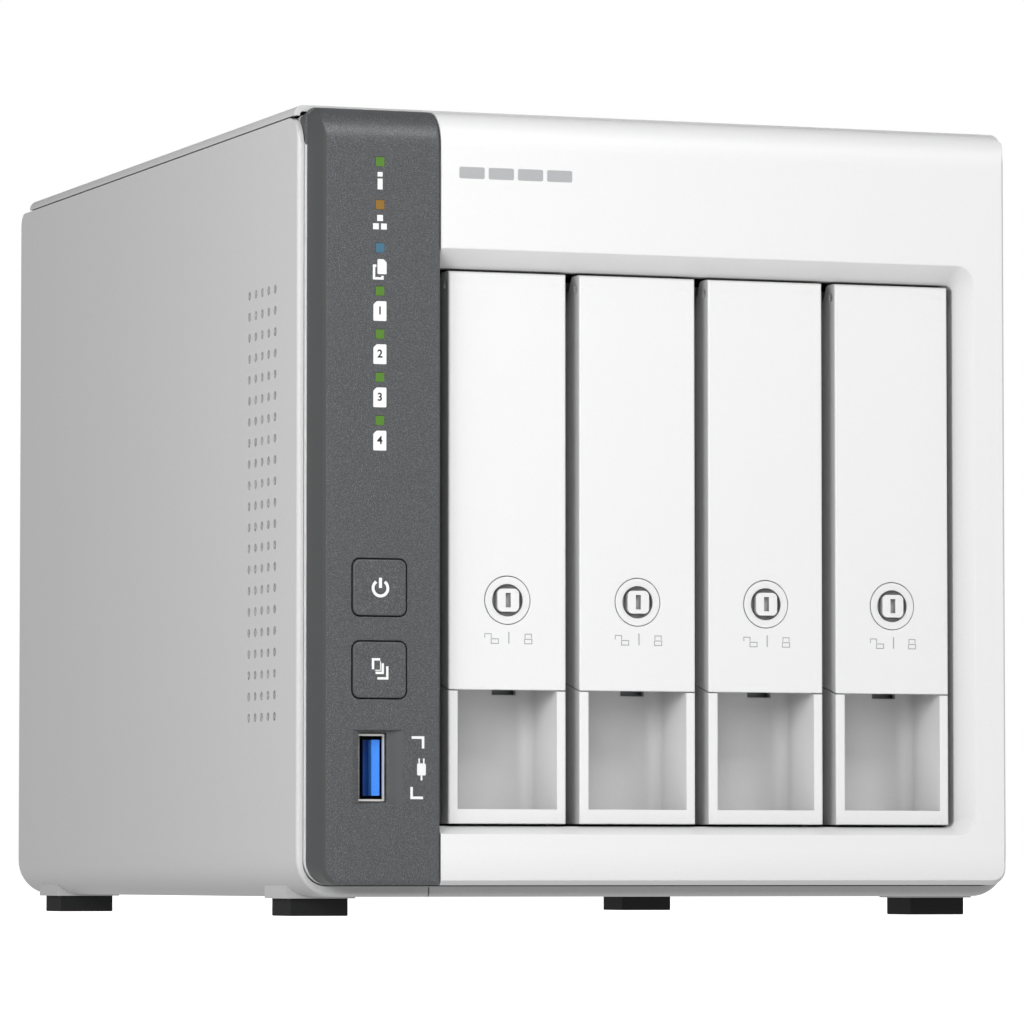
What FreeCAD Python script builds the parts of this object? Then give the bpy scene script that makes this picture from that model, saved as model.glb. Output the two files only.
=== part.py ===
import FreeCAD, Part
import math
import os

# Desktop network storage unit with four drive trays. Millimetres, +Z up, the front faces -Y,
# origin on the floor under the middle of the enclosure.

V = FreeCAD.Vector

# ---- Overall size -------------------------------------------------------------------------
STRIP_WIDTH = 28.73
BAYS_WIDTH = 131.27
WIDTH = STRIP_WIDTH + BAYS_WIDTH
DEPTH = 219.4
BUTTON_PROUD = 0.4
HEIGHT = 168.0
X_LEFT = -WIDTH / 2
X_RIGHT = WIDTH / 2
Y_FRONT = -DEPTH / 2 + BUTTON_PROUD
Y_REAR = DEPTH / 2

# ---- Feet ---------------------------------------------------------------------------------
FOOT_SIDE = 12.5
FOOT_HEIGHT = 3.65
FOOT_INSET = 3.6
FOOT_BEVEL = 0.15
FRONT_FOOT_Y = Y_FRONT + 28.5
REAR_FOOT_Y = Y_REAR - 17.7
PLINTH_MARGIN = 1.25
PLINTH_REACH = 1.6

# ---- Covers -------------------------------------------------------------------------------
SHEET = 1.0
HEM = 1.3
LOWER_HEM = 2.2
HEM_LENGTH = 3.0
MOUTH_RADIUS = 5.0
UNDERSIDE_Z = 4.0
BOTTOM_RADIUS = 8.0
TOP_RADIUS = 2.0
COVER_SETBACK = 7.3
TOP_SETBACK = 10.0
TOP_REAR_SETBACK = 7.5
SIDE_TOP_DROP = 2.5
SIDE_CORNER_RADIUS = 6.0
REAR_CORNER_RADIUS = 3.0
LEAST_RADIUS = 0.5
EDGE_STEPS = 4
TOP_SHEET_INSET = 3.0
LEFT_WRAP = 12.0
COVER_SEAM = 0.3
BOTTOM_SEAM_OFFSET = STRIP_WIDTH - 0.13
EDGE_ROUND = 0.9
COVER_FRONT_Y = Y_FRONT + COVER_SETBACK
SIDE_TOP_Z = HEIGHT - SIDE_TOP_DROP
FLOOR_Z = UNDERSIDE_Z + SHEET

# ---- Side vents ---------------------------------------------------------------------------
VENT_RADIUS = 0.95
VENT_COLUMNS = 5
VENT_ROWS = 21
VENT_PITCH_Y = 4.4
VENT_PITCH_Z = 4.46
VENT_FIRST_Y = Y_FRONT + 40.0
VENT_FIRST_Z = 41.5

# ---- Front bezel --------------------------------------------------------------------------
FRONT_WALL = 2.0
FRONT_DEPTH = 12.5
RIM_GAP = 1.4
SIDE_GAP = 1.75
FACE_INSET = 3.9
BEZEL_BOTTOM_Z = 6.4
FACE_CHAMFER = 1.0
TOP_ROUND_HEIGHT = 7.7
TOP_GAP = 0.75
TOP_BEVEL_DROP = 2.7
TOP_BEVEL_RUN = 3.8
RIM_SETBACK = 6.5
CHAMFER_DEPTH = 0.9
CHAMFER_RUN = 0.6
FACE_CORNER_RADIUS = 2.6
SHOULDER_RADIUS = 3.6
BODY_CORNER_RADIUS = 5.0
RIM_CORNER_RADIUS = 5.3
RIM_TOP_Z = HEIGHT - 8.5
RIM_TOP_STEP = 3.0
FRAME_DEPTH = 7.5
BACKING_FRONT_Y = Y_FRONT + 5.0
BACKING_BACK_Y = Y_FRONT + 7.0
BACKING_TOP_Z = HEIGHT - 8.0
LIGHT_WINDOW = 2.2
BUTTON_WINDOW = 4.2
BOSS_RADIUS = 2.6
PILOT_DEPTH = 5.0

# ---- Control strip ------------------------------------------------------------------------
STRIP_EDGE_ROUND = 0.6
STRIP_RIGHT_X = X_LEFT + STRIP_WIDTH
STRIP_SEAM = 0.15
CONTROL_X = X_LEFT + 15.4
LIGHT_X = X_LEFT + 15.45
LIGHT_SIDE = 1.9
LIGHT_CLEARANCE = 0.06
LIGHT_PITCH = 8.93
LIGHT_COUNT = 7
TOP_LIGHT_DROP = 12.34
TOP_LIGHT_Z = HEIGHT - TOP_LIGHT_DROP

# ---- Buttons ------------------------------------------------------------------------------
BUTTON_SIDE = 11.55
BUTTON_RADIUS = 1.5
BUTTON_GAP = 0.3
BUTTON_CAP_DEPTH = 3.4
BUTTON_EDGE = 0.35
BUTTON_FLANGE = 1.2
BUTTON_STEM_RADIUS = 2.5
BUTTON_TRAVEL = 0.5
POWER_Z = 67.6
COPY_Z = 50.65

# ---- Front USB socket ---------------------------------------------------------------------
USB_WIDTH = 5.8
USB_HEIGHT = 13.85
USB_WALL = 0.4
USB_BACK_WALL = 1.5
USB_SETBACK = 1.9
TONGUE_OFFSET = 0.2
TONGUE_THICKNESS = 1.7
TONGUE_SETBACK = 3.3
TONGUE_END_GAP = 0.75
USB_X = X_LEFT + 14.25
USB_Z = 30.6
USB_CLEARANCE = 0.25
USB_SCOOP_HALF = 5.4
USB_SCOOP_DEPTH = 1.2
USB_SCOOP_MARGIN = 0.75
USB_SCOOP_X = X_LEFT + 15.1

# ---- Front board --------------------------------------------------------------------------
BOARD = 1.6
FRONT_BOARD_Y = Y_FRONT + 13.5
LED_HEIGHT = 1.0
SWITCH_SIDE = 6.0
SWITCH_HEIGHT = 3.5
PLUNGER_RADIUS = 1.6
PLUNGER_HEIGHT = 1.2
RIBBON_BOTTOM_Z = 92.0
RIBBON_TOP_Z = 112.0
RIBBON_PLUG = 3.0

# ---- Drives (standard 3.5-inch) -----------------------------------------------------------
DRIVE_WIDTH = 26.1
DRIVE_HEIGHT = 101.6
DRIVE_LENGTH = 147.0
DRIVE_HOLE_RADIUS = 1.75
DRIVE_HOLE_DEPTH = 3.5
DRIVE_HOLES_FROM_REAR = (28.5, 130.1)
DRIVE_FRONT_RADIUS = 2.5
DRIVE_REAR_RADIUS = 1.0
DRIVE_BOARD_MARGIN = 3.0
DRIVE_BOARD_DEPTH = 1.5
DRIVE_BOARD_SETBACK = 45.0
CONNECTOR_WIDTH = 5.0
CONNECTOR_LENGTH = 34.0
CONNECTOR_NOTCH = 6.0
CONNECTOR_CLEARANCE = 0.4
CONNECTOR_OFFSET_X = -8.5
CONNECTOR_OFFSET_Z = 23.0

# ---- Trays --------------------------------------------------------------------------------
TRAY_COUNT = 4
TRAY_WIDTH = 26.0
TRAY_PITCH = 29.0
FIRST_TRAY_GAP = 3.0
FIRST_TRAY_X = STRIP_RIGHT_X + FIRST_TRAY_GAP + TRAY_WIDTH / 2
TRAY_BOTTOM_Z = 19.15
TRAY_HEIGHT = DRIVE_HEIGHT + 13.2
TRAY_TOP_Z = TRAY_BOTTOM_Z + TRAY_HEIGHT
TRAY_SETBACK = 3.5
TRAY_FRONT_Y = Y_FRONT + TRAY_SETBACK
TRAY_EDGE = 0.4
DRIVE_GAP = 0.15
DRIVE_BOTTOM_Z = TRAY_BOTTOM_Z + 6.6
DRIVE_TOP_Z = DRIVE_BOTTOM_Z + DRIVE_HEIGHT
RAIL_WIDTH = 22.0
RAIL_MARGIN = 0.6
RAIL_OVERRUN = 3.5
DRIVE_PIN_GAP = 0.15
DRIVE_PIN_REACH = 2.5
CROSSBAR = 2.5
DRIVE_STOP = 1.65

# ---- Finger pocket ------------------------------------------------------------------------
POCKET_HEIGHT = 27.5
POCKET_SIDE_WALL = 2.05
POCKET_SILL = 3.0
POCKET_DEPTH = 16.7
POCKET_RADIUS = 3.0
POCKET_BACK_WALL = 1.5
POCKET_HEAD = 15.0
LATCH_SLOT_WIDTH = 5.3
LATCH_SLOT_HEIGHT = 4.0
LATCH_SLOT_X = 5.2
TRAY_VENTS = 5
TRAY_VENT_PITCH = 9.0
TRAY_VENT_HEIGHT = 4.0
TRAY_VENT_HALF = 8.0
SPLIT_Z = TRAY_BOTTOM_Z + POCKET_HEIGHT
TRAY_PLATE_Y = TRAY_FRONT_Y + POCKET_DEPTH
DRIVE_FRONT_Y = TRAY_PLATE_Y + POCKET_BACK_WALL + DRIVE_GAP + DRIVE_STOP
DRIVE_REAR_Y = DRIVE_FRONT_Y + DRIVE_LENGTH

# ---- Tray handle --------------------------------------------------------------------------
HANDLE_GAP = 0.25
HANDLE_PLATE = 2.2
HANDLE_DEPTH = 9.0
HANDLE_WALL = 1.6
HANDLE_TOP_DROP = 7.5
HANDLE_HOLLOW_DROP = 9.0
HANDLE_TOP_RADIUS = 0.8
HANDLE_BACK_RADIUS = 1.5
HANDLE_HEEL_RADIUS = 2.0
HANDLE_TOP_DEPTH = 2.4
PART_LINE_RISE = 0.23
PIVOT_DROP = 2.8
PIVOT_SETBACK = 2.3
PIVOT_Y = TRAY_FRONT_Y + PIVOT_SETBACK
PIVOT_Z = TRAY_TOP_Z - PIVOT_DROP
PIN_RADIUS = 0.8
PIN_CLEARANCE = 0.06
EAR_WIDTH = 2.2
EAR_GAP = 0.2
EAR_RADIUS = 1.9
EAR_ARM_TOP = 0.3
EAR_SWING_GAP = 0.25
HINGE_PIN_INSET = 0.6

# ---- Tray lock ----------------------------------------------------------------------------
LOCK_Z = SPLIT_Z + 18.9
LOCK_RADIUS = 5.1
LOCK_CLEARANCE = 0.16
LOCK_RING = 1.55
LOCK_WELL_DEPTH = 1.4
LOCK_FLANGE = 1.4
LOCK_FLANGE_DEPTH = 1.0
LOCK_KNOB_SIDE = 4.8
LOCK_ARM_LENGTH = 7.0
LOCK_ARM_WIDTH = 3.0
LOCK_ARM_THICKNESS = 3.0
LOCK_KNOB_RADIUS = 1.1
LOCK_KNOB_PROUD = 0.5
LOCK_SLOT_HALF = 0.55
LOCK_SLOT_DEPTH = 0.4
LOCK_SLOT_MARGIN = 0.9
LOCK_FLANGE_GAP = 0.15

# ---- Recess around the trays --------------------------------------------------------------
RECESS_DEPTH = 4.5
OPENING_GAP = 0.5
OPENING_SIDE_GAP = 1.6
RECESS_TOP_FLARE = 3.8
RECESS_SIDE_FLARE = 3.15
RECESS_BOTTOM_FLARE = 1.7
RECESS_OUTER_RADIUS = 3.9
RECESS_INNER_RADIUS = 1.5
RECESS_FRAME = 3.5
LAST_TRAY_RIGHT_X = FIRST_TRAY_X + (TRAY_COUNT - 1) * TRAY_PITCH + TRAY_WIDTH / 2
OPENING_RIGHT_X = LAST_TRAY_RIGHT_X + OPENING_SIDE_GAP
OPENING_TOP_Z = TRAY_TOP_Z + OPENING_GAP
OPENING_BOTTOM_Z = TRAY_BOTTOM_Z - OPENING_GAP

# ---- Drive cage ---------------------------------------------------------------------------
CAGE_FRONT_Y = Y_FRONT + FRONT_DEPTH + 0.6
CAGE_REAR_Y = DRIVE_REAR_Y + 6.0
CAGE_LEFT_X = FIRST_TRAY_X - TRAY_WIDTH / 2 - 2.3
CAGE_RIGHT_X = LAST_TRAY_RIGHT_X + 2.6
CAGE_FLANGE = 8.0
CAGE_SLOTS = 5
CAGE_SLOT_PITCH = 17.0
CAGE_SLOT_HEIGHT = 7.0
CAGE_SLOT_FIRST_Z = 45.0
CAGE_SLOT_MARGIN = 30.0
CAGE_FOOT_MARGIN = 20.0
GUIDE_PLATE = 1.2
GUIDE_RIB = 1.8
GUIDE_RIB_OVERLAP = 5.0
GUIDE_CLEARANCE = 0.8
GUIDE_TOP_Z = TRAY_TOP_Z + GUIDE_CLEARANCE
GUIDE_BOTTOM_Z = TRAY_BOTTOM_Z - GUIDE_CLEARANCE
CAGE_TOP_Z = GUIDE_TOP_Z + GUIDE_PLATE
CAGE_BOTTOM_Z = GUIDE_BOTTOM_Z - GUIDE_PLATE

# ---- Backplane ----------------------------------------------------------------------------
BACKPLANE_Y = CAGE_REAR_Y
LINK_DEPTH = 6.0
LINK_HEIGHT = 50.0
LINK_WIDTH = 5.0

# ---- Mainboard ----------------------------------------------------------------------------
STANDOFF_LENGTH = 5.0
STANDOFF_RADIUS = 2.6
MAINBOARD_X = CAGE_LEFT_X - SHEET - STANDOFF_LENGTH
MAINBOARD_FRONT_Y = Y_FRONT + 40.0
MAINBOARD_BOTTOM_Z = 12.0
MAINBOARD_TOP_Z = HEIGHT - 12.0
CHIP_HEIGHT = 1.2
PROCESSOR_SIDE = 21.0
MEMORY_LENGTH = 9.0
MEMORY_HEIGHT = 13.0
MEMORY_COUNT = 4
MEMORY_PITCH = 16.0
CELL_RADIUS = 10.0
CELL_THICKNESS = 3.2
HEATSINK_SIDE = 44.0
HEATSINK_BASE = 2.5
HEATSINK_FINS = 10
HEATSINK_FIN = 1.0
HEATSINK_HEIGHT = 13.0
HEATSINK_Y = Y_FRONT + 75.0
HEATSINK_Z = 88.0
SCREW_RADIUS = 1.5
SCREW_HEAD_RADIUS = 2.8
SCREW_HEAD_HEIGHT = 2.0
SCREW_LENGTH = 4.5
SCREW_CLEARANCE = 0.15
DRIVER_SPAN = 3.2
DRIVER_WIDTH = 0.7
DRIVER_DEPTH = 1.8

# ---- Rear panel ---------------------------------------------------------------------------
REAR_INSET = 8.0
REAR_OUTER_Y = Y_REAR - REAR_INSET
REAR_INNER_Y = REAR_OUTER_Y - SHEET
REAR_FLANGE = 6.0
PANEL_GAP = 0.1

# ---- Fan ----------------------------------------------------------------------------------
FAN_SIDE = 120.0
FAN_DEPTH = 25.0
FAN_BORE_RADIUS = 57.0
FAN_RING_RADIUS = 59.5
FAN_FLANGE = 4.0
FAN_HOLE_OFFSET = 52.5
FAN_HOLE_RADIUS = 2.2
FAN_HUB_RADIUS = 20.0
FAN_BLADES = 7
FAN_BLADE_GAP = 1.5
FAN_BLADE = 1.6
FAN_ROOT = (FAN_HUB_RADIUS - 3, 17.0, 48.0)
FAN_TIP = (FAN_BORE_RADIUS - FAN_BLADE_GAP, 34.0, 28.0)
FAN_STRUT = 4.0
FAN_STRUT_SETBACK = 3.5
FAN_STRUT_REAR_GAP = 0.5
FAN_CORNER_RADIUS = 6.0
FAN_SHAFT_RADIUS = 2.0
FAN_SHAFT_CLEARANCE = 0.05
FAN_X = (CAGE_LEFT_X + CAGE_RIGHT_X) / 2 + 3.4
FAN_Z = HEIGHT / 2
FAN_BACK_Y = REAR_INNER_Y
FAN_FRONT_Y = FAN_BACK_Y - FAN_DEPTH
GRILLE_HOLE_RADIUS = 3.0
GRILLE_PITCH = 7.6
GRILLE_RADIUS = 55.0
ROW_RATIO = math.sqrt(3) / 2
FAN_SCREW_HEAD = 4.0
FAN_SCREW_HEIGHT = 2.2
FAN_SCREW_LENGTH = 10.0

# ---- Rear ports ---------------------------------------------------------------------------
PORT_CLEARANCE = 0.3
PORT_PROUD = 0.4
JACK_WIDTH = 16.0
JACK_HEIGHT = 13.5
JACK_DEPTH = 21.0
JACK_WALL = 1.9
JACK_SOCKET_DEPTH = 13.0
JACK_ZS = (48.0, 68.0)
REAR_USB_WIDTH = 14.4
REAR_USB_STACK = 15.7
REAR_USB_DEPTH = 17.0
REAR_USB_Z = 90.0
REAR_USB_WALL = 0.8
POWER_JACK_SIDE = 11.5
POWER_JACK_DEPTH = 14.0
POWER_JACK_Z = 26.0
POWER_JACK_BORE = 3.1
POWER_JACK_PIN = 1.1
RESET_Z = 108.0
RESET_RADIUS = 1.4
RESET_CLEARANCE = 0.25
RESET_TRAVEL = 0.5
LOCK_SLOT_Z = 148.0
LOCK_SLOT_LENGTH = 7.0
LOCK_SLOT_HEIGHT = 3.0


# ---- Building helpers ---------------------------------------------------------------------
def box(x0, x1, y0, y1, z0, z1):
    """Box between two corners."""
    return Part.makeBox(x1 - x0, y1 - y0, z1 - z0, V(x0, y0, z0))


def rod(radius, start, end):
    """Cylinder of a radius from one point to another."""
    start = V(*start)
    way = V(*end) - start
    return Part.makeCylinder(radius, way.Length, start, way)


def fused(shapes):
    """One shape from several touching ones."""
    first = shapes[0]
    if len(shapes) > 1:
        first = first.fuse(shapes[1:])
    return first.removeSplitter()


def without(shape, cutters):
    """The shape with every cutter taken away."""
    return shape.cut(cutters)


def outline(corners, place):
    """Closed wire through (u, v, radius) corners, each rounded by its own radius."""
    count = len(corners)
    starts = []
    middles = []
    ends = []
    for i, (u, v, radius) in enumerate(corners):
        here = V(u, v, 0)
        back = (V(*corners[i - 1][:2], 0) - here).normalize()
        ahead = (V(*corners[(i + 1) % count][:2], 0) - here).normalize()
        half = back.getAngle(ahead) / 2
        reach = radius / math.tan(half)
        centre = here + (back + ahead).normalize() * (radius / math.sin(half))
        starts.append(here + back * reach)
        ends.append(here + ahead * reach)
        middles.append(centre - (back + ahead).normalize() * radius)
    edges = []
    for i in range(count):
        if corners[i][2] > 0:
            arc = Part.Arc(place(starts[i]), place(middles[i]), place(ends[i]))
            edges.append(arc.toShape())
        following = (i + 1) % count
        if (ends[i] - starts[following]).Length > 1e-6:
            edges.append(Part.makeLine(place(ends[i]), place(starts[following])))
    return Part.Wire(edges)


def along_y(corners, y0, y1):
    """Prism of an XZ outline between two Y planes."""
    wire = outline(corners, lambda p: V(p.x, y0, p.y))
    return Part.Face(wire).extrude(V(0, y1 - y0, 0))


def along_x(corners, x0, x1):
    """Prism of a YZ outline between two X planes."""
    wire = outline(corners, lambda p: V(x0, p.x, p.y))
    return Part.Face(wire).extrude(V(x1 - x0, 0, 0))


def along_z(corners, z0, z1):
    """Prism of an XY outline between two Z planes."""
    wire = outline(corners, lambda p: V(p.x, p.y, z0))
    return Part.Face(wire).extrude(V(0, 0, z1 - z0))


def rectangle(x0, x1, z0, z1, radius):
    """Corners of a rectangle, all of one radius."""
    return [(x0, z0, radius), (x1, z0, radius), (x1, z1, radius), (x0, z1, radius)]


def tray_x(index):
    """Middle of a tray, counted from the left."""
    return FIRST_TRAY_X + index * TRAY_PITCH


# ---- Covers -------------------------------------------------------------------------------
def cover_tube(inset, y0, y1):
    """Full cross-section of the covers, moved in by an inset."""
    low = max(BOTTOM_RADIUS - inset, LEAST_RADIUS)
    high = max(TOP_RADIUS - inset, LEAST_RADIUS)
    left = X_LEFT + inset
    right = X_RIGHT - inset
    bottom = UNDERSIDE_Z + inset
    top = HEIGHT - inset
    corners = [(left, bottom, low), (right, bottom, low), (right, top, high), (left, top, high)]
    return along_y(corners, y0, y1)


def cover_mouth():
    """Open front of the covers, inside the folded hem."""
    left = X_LEFT + HEM
    right = X_RIGHT - HEM
    bottom = UNDERSIDE_Z + LOWER_HEM
    top = HEIGHT - HEM
    corners = [
        (left, bottom, MOUTH_RADIUS),
        (right, bottom, MOUTH_RADIUS),
        (right, top, TOP_RADIUS - HEM),
        (left, top, TOP_RADIUS - HEM),
    ]
    return along_y(corners, COVER_FRONT_Y - 1, COVER_FRONT_Y + HEM_LENGTH)


def cover_side_view():
    """Side view of the covers: rounded front corners of the sides, set-back top edge."""
    corners = [
        (COVER_FRONT_Y, 0, 0),
        (Y_REAR, 0, 0),
        (Y_REAR, SIDE_TOP_Z, REAR_CORNER_RADIUS),
        (Y_REAR - TOP_REAR_SETBACK, SIDE_TOP_Z, 0),
        (Y_REAR - TOP_REAR_SETBACK, HEIGHT + 1, 0),
        (Y_FRONT + TOP_SETBACK, HEIGHT + 1, 0),
        (Y_FRONT + TOP_SETBACK, SIDE_TOP_Z, 0),
        (COVER_FRONT_Y, SIDE_TOP_Z, SIDE_CORNER_RADIUS),
    ]
    return along_x(corners, X_LEFT - 1, X_RIGHT + 1)


def rounded_front(y_back):
    """Solid whose front outer edge narrows in an arc, used to round the covers' front edges."""
    wires = []
    for i in range(EDGE_STEPS + 1):
        angle = math.pi / 2 * i / EDGE_STEPS
        inset = EDGE_ROUND * (1 - math.sin(angle))
        y = COVER_FRONT_Y + EDGE_ROUND * (1 - math.cos(angle))
        wires.append(cover_section(inset, y))
    wires.append(cover_section(0, y_back))
    return Part.makeLoft(wires, True, True)


def cover_section(inset, y):
    """Outline of the covers at one depth."""
    low = BOTTOM_RADIUS - inset
    left = X_LEFT + inset
    right = X_RIGHT - inset
    corners = [
        (left, UNDERSIDE_Z + inset, low),
        (right, UNDERSIDE_Z + inset, low),
        (right, HEIGHT, TOP_RADIUS),
        (left, HEIGHT, TOP_RADIUS),
    ]
    return outline(corners, lambda p: V(p.x, y, p.y))


def cover_shell():
    """Both covers as one thin shell, before it is split."""
    outside = rounded_front(Y_REAR)
    hollow = cover_tube(SHEET, COVER_FRONT_Y + HEM_LENGTH, Y_REAR + 1)
    left = X_LEFT + TOP_SHEET_INSET
    right = X_RIGHT - TOP_SHEET_INSET
    top = box(left, right, COVER_FRONT_Y - 1, Y_REAR, SIDE_TOP_Z - 2, HEIGHT - SHEET)
    return without(outside, [hollow, cover_mouth(), top]).common(cover_side_view())


def left_region(seam):
    """Space that holds the left cover, widened by a seam."""
    side = box(X_LEFT - 1, X_LEFT + LEFT_WRAP, Y_FRONT - 5, Y_REAR + 5, 0, SIDE_TOP_Z + seam)
    low = box(X_LEFT - 1, X_LEFT + BOTTOM_SEAM_OFFSET + seam, Y_FRONT - 5, Y_REAR + 5, 0, FLOOR_Z + 1)
    return fused([side, low])


def plinths(sign):
    """Low square pads under one side of the covers, one for each foot."""
    half = FOOT_SIDE / 2 + PLINTH_MARGIN
    x = sign * (X_RIGHT - FOOT_INSET - FOOT_SIDE / 2)
    pads = []
    for y in (FRONT_FOOT_Y, REAR_FOOT_Y):
        pads.append(box(x - half, x + half, y - half, y + half, FOOT_HEIGHT, FLOOR_Z + PLINTH_REACH))
    shell_space = cover_tube(SHEET / 2, Y_FRONT, Y_REAR)
    return [pad.cut(shell_space) for pad in pads]


def vent_holes(sign):
    """Grid of round vent holes through one side."""
    holes = []
    for column in range(VENT_COLUMNS):
        for row in range(VENT_ROWS):
            y = VENT_FIRST_Y - column * VENT_PITCH_Y
            z = VENT_FIRST_Z + row * VENT_PITCH_Z
            start = (sign * (X_RIGHT - 3), y, z)
            holes.append(rod(VENT_RADIUS, start, (sign * (X_RIGHT + 1), y, z)))
    return holes


def left_cover():
    """Left side and bottom-left corner."""
    sheet = cover_shell().common(left_region(0))
    return without(fused([sheet] + plinths(-1)), vent_holes(-1))


def main_cover():
    """Top, right side and the rest of the bottom."""
    sheet = cover_shell().cut(left_region(COVER_SEAM))
    return without(fused([sheet] + plinths(1)), vent_holes(1))


def foot(side, y):
    """Square rubber foot with a bevelled lower edge."""
    half = FOOT_SIDE / 2
    x = side * (X_RIGHT - FOOT_INSET - half)
    block = box(x - half, x + half, y - half, y + half, 0, FOOT_HEIGHT)
    lower = [edge for edge in block.Edges if edge.BoundBox.ZMax < 0.01]
    return block.makeChamfer(FOOT_BEVEL, lower)


# ---- Front moulding -----------------------------------------------------------------------
def front_section(inset, depth, side, bottom, radius):
    """Outline of the front moulding at a depth behind its face."""
    left = X_LEFT + side + inset
    right = X_RIGHT - side - inset
    corners = [
        (left, bottom + inset, radius),
        (right, bottom + inset, radius),
        (right, HEIGHT - TOP_BEVEL_DROP, 0),
        (right - TOP_BEVEL_RUN, HEIGHT + 1, 0),
        (left + TOP_BEVEL_RUN, HEIGHT + 1, 0),
        (left, HEIGHT - TOP_BEVEL_DROP, 0),
    ]
    y = Y_FRONT + depth
    return outline(corners, lambda p: V(p.x, y, p.y))


def front_side_view(inset):
    """Side view of the front moulding, with its rounded top edge."""
    face = Y_FRONT + inset
    top = HEIGHT - TOP_GAP - inset
    under_cover = HEIGHT - HEM - TOP_GAP - inset
    corners = [
        (face, 0, 0),
        (Y_FRONT + FRONT_DEPTH + inset, 0, 0),
        (Y_FRONT + FRONT_DEPTH + inset, under_cover, 0),
        (Y_FRONT + TOP_SETBACK - COVER_SEAM, under_cover, 0),
        (Y_FRONT + TOP_SETBACK - COVER_SEAM, top, 0),
        (face, top, TOP_ROUND_HEIGHT),
    ]
    return along_x(corners, X_LEFT, X_RIGHT)


def front_solid(inset):
    """Outer form of the front moulding, moved in by an inset, with its wider rim at the back."""
    low = BEZEL_BOTTOM_Z
    body_radius = BODY_CORNER_RADIUS
    rows = [
        (inset, FACE_INSET, low + FACE_CHAMFER, FACE_CORNER_RADIUS),
        (inset + CHAMFER_DEPTH, FACE_INSET - CHAMFER_RUN, low, SHOULDER_RADIUS),
        (inset + RIM_SETBACK, SIDE_GAP, low, body_radius),
        (inset + FRONT_DEPTH, SIDE_GAP, low, body_radius),
    ]
    body = Part.makeLoft([front_section(inset, *row) for row in rows], True, True)
    rows = [
        (inset + RIM_SETBACK, RIM_GAP, low, RIM_CORNER_RADIUS),
        (inset + FRONT_DEPTH, RIM_GAP, low, RIM_CORNER_RADIUS),
    ]
    rim = Part.makeLoft([front_section(inset, *row) for row in rows], True, True)
    return body.fuse(rim).common(front_side_view(inset))


def strip_region(seam):
    """Space that holds the control strip."""
    low = Y_FRONT - 5
    back = Y_FRONT + RIM_SETBACK + seam
    top_back = Y_FRONT + TOP_SETBACK + seam
    corners = [
        (low, 0, 0),
        (back, 0, 0),
        (back, RIM_TOP_Z - seam, 0),
        (top_back, RIM_TOP_Z + RIM_TOP_STEP - seam, 0),
        (top_back, HEIGHT + 5, 0),
        (low, HEIGHT + 5, 0),
    ]
    return along_x(corners, X_LEFT - 1, STRIP_RIGHT_X + seam)


def recess():
    """Flared recess in the bezel and the straight opening behind it."""
    left = STRIP_RIGHT_X - 4
    face = [
        (left, OPENING_BOTTOM_Z - RECESS_BOTTOM_FLARE, 0),
        (OPENING_RIGHT_X + RECESS_SIDE_FLARE, OPENING_BOTTOM_Z - RECESS_BOTTOM_FLARE, RECESS_OUTER_RADIUS),
        (OPENING_RIGHT_X + RECESS_SIDE_FLARE, OPENING_TOP_Z + RECESS_TOP_FLARE, RECESS_OUTER_RADIUS),
        (left, OPENING_TOP_Z + RECESS_TOP_FLARE, 0),
    ]
    floor = [
        (left, OPENING_BOTTOM_Z, 0),
        (OPENING_RIGHT_X, OPENING_BOTTOM_Z, RECESS_INNER_RADIUS),
        (OPENING_RIGHT_X, OPENING_TOP_Z, RECESS_INNER_RADIUS),
        (left, OPENING_TOP_Z, 0),
    ]
    back_y = Y_FRONT + RECESS_DEPTH
    wires = [
        outline(face, lambda p: V(p.x, Y_FRONT, p.y)),
        outline(floor, lambda p: V(p.x, back_y, p.y)),
    ]
    flare = Part.makeLoft(wires, True, True)
    front = along_y(face, Y_FRONT - 1, Y_FRONT)
    opening = along_y(floor, back_y, Y_FRONT + FRONT_DEPTH + 5)
    return fused([front, flare, opening])


def backing_windows():
    """Openings in the plate behind the strip, for lights, button stems and the USB shell."""
    low_light = TOP_LIGHT_Z - (LIGHT_COUNT - 1) * LIGHT_PITCH
    y0 = BACKING_FRONT_Y - 1
    y1 = BACKING_BACK_Y + 1
    windows = [box(LIGHT_X - LIGHT_WINDOW, LIGHT_X + LIGHT_WINDOW, y0, y1, low_light - 3, TOP_LIGHT_Z + 3)]
    half = BUTTON_WINDOW
    for z in (POWER_Z, COPY_Z):
        windows.append(box(CONTROL_X - half, CONTROL_X + half, y0, y1, z - half, z + half))
    half_x = USB_WIDTH / 2 + 1
    half_z = USB_HEIGHT / 2 + 1
    windows.append(box(USB_X - half_x, USB_X + half_x, y0, y1, USB_Z - half_z, USB_Z + half_z))
    return windows


def front_bosses():
    """Pillars that carry the front board, with a pilot hole in each."""
    pillars = []
    pilots = []
    for x, z in front_board_screws():
        pillars.append(rod(BOSS_RADIUS, (x, BACKING_BACK_Y - 0.5, z), (x, FRONT_BOARD_Y, z)))
        pilots.append(rod(SCREW_RADIUS, (x, FRONT_BOARD_Y - PILOT_DEPTH, z), (x, FRONT_BOARD_Y + 1, z)))
    return pillars, pilots


def front_board_screws():
    """Screw places of the front board."""
    return [(X_LEFT + 8.0, HEIGHT - 30), (X_LEFT + 22.0, 82.0), (X_LEFT + 8.0, 18.5)]


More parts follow.
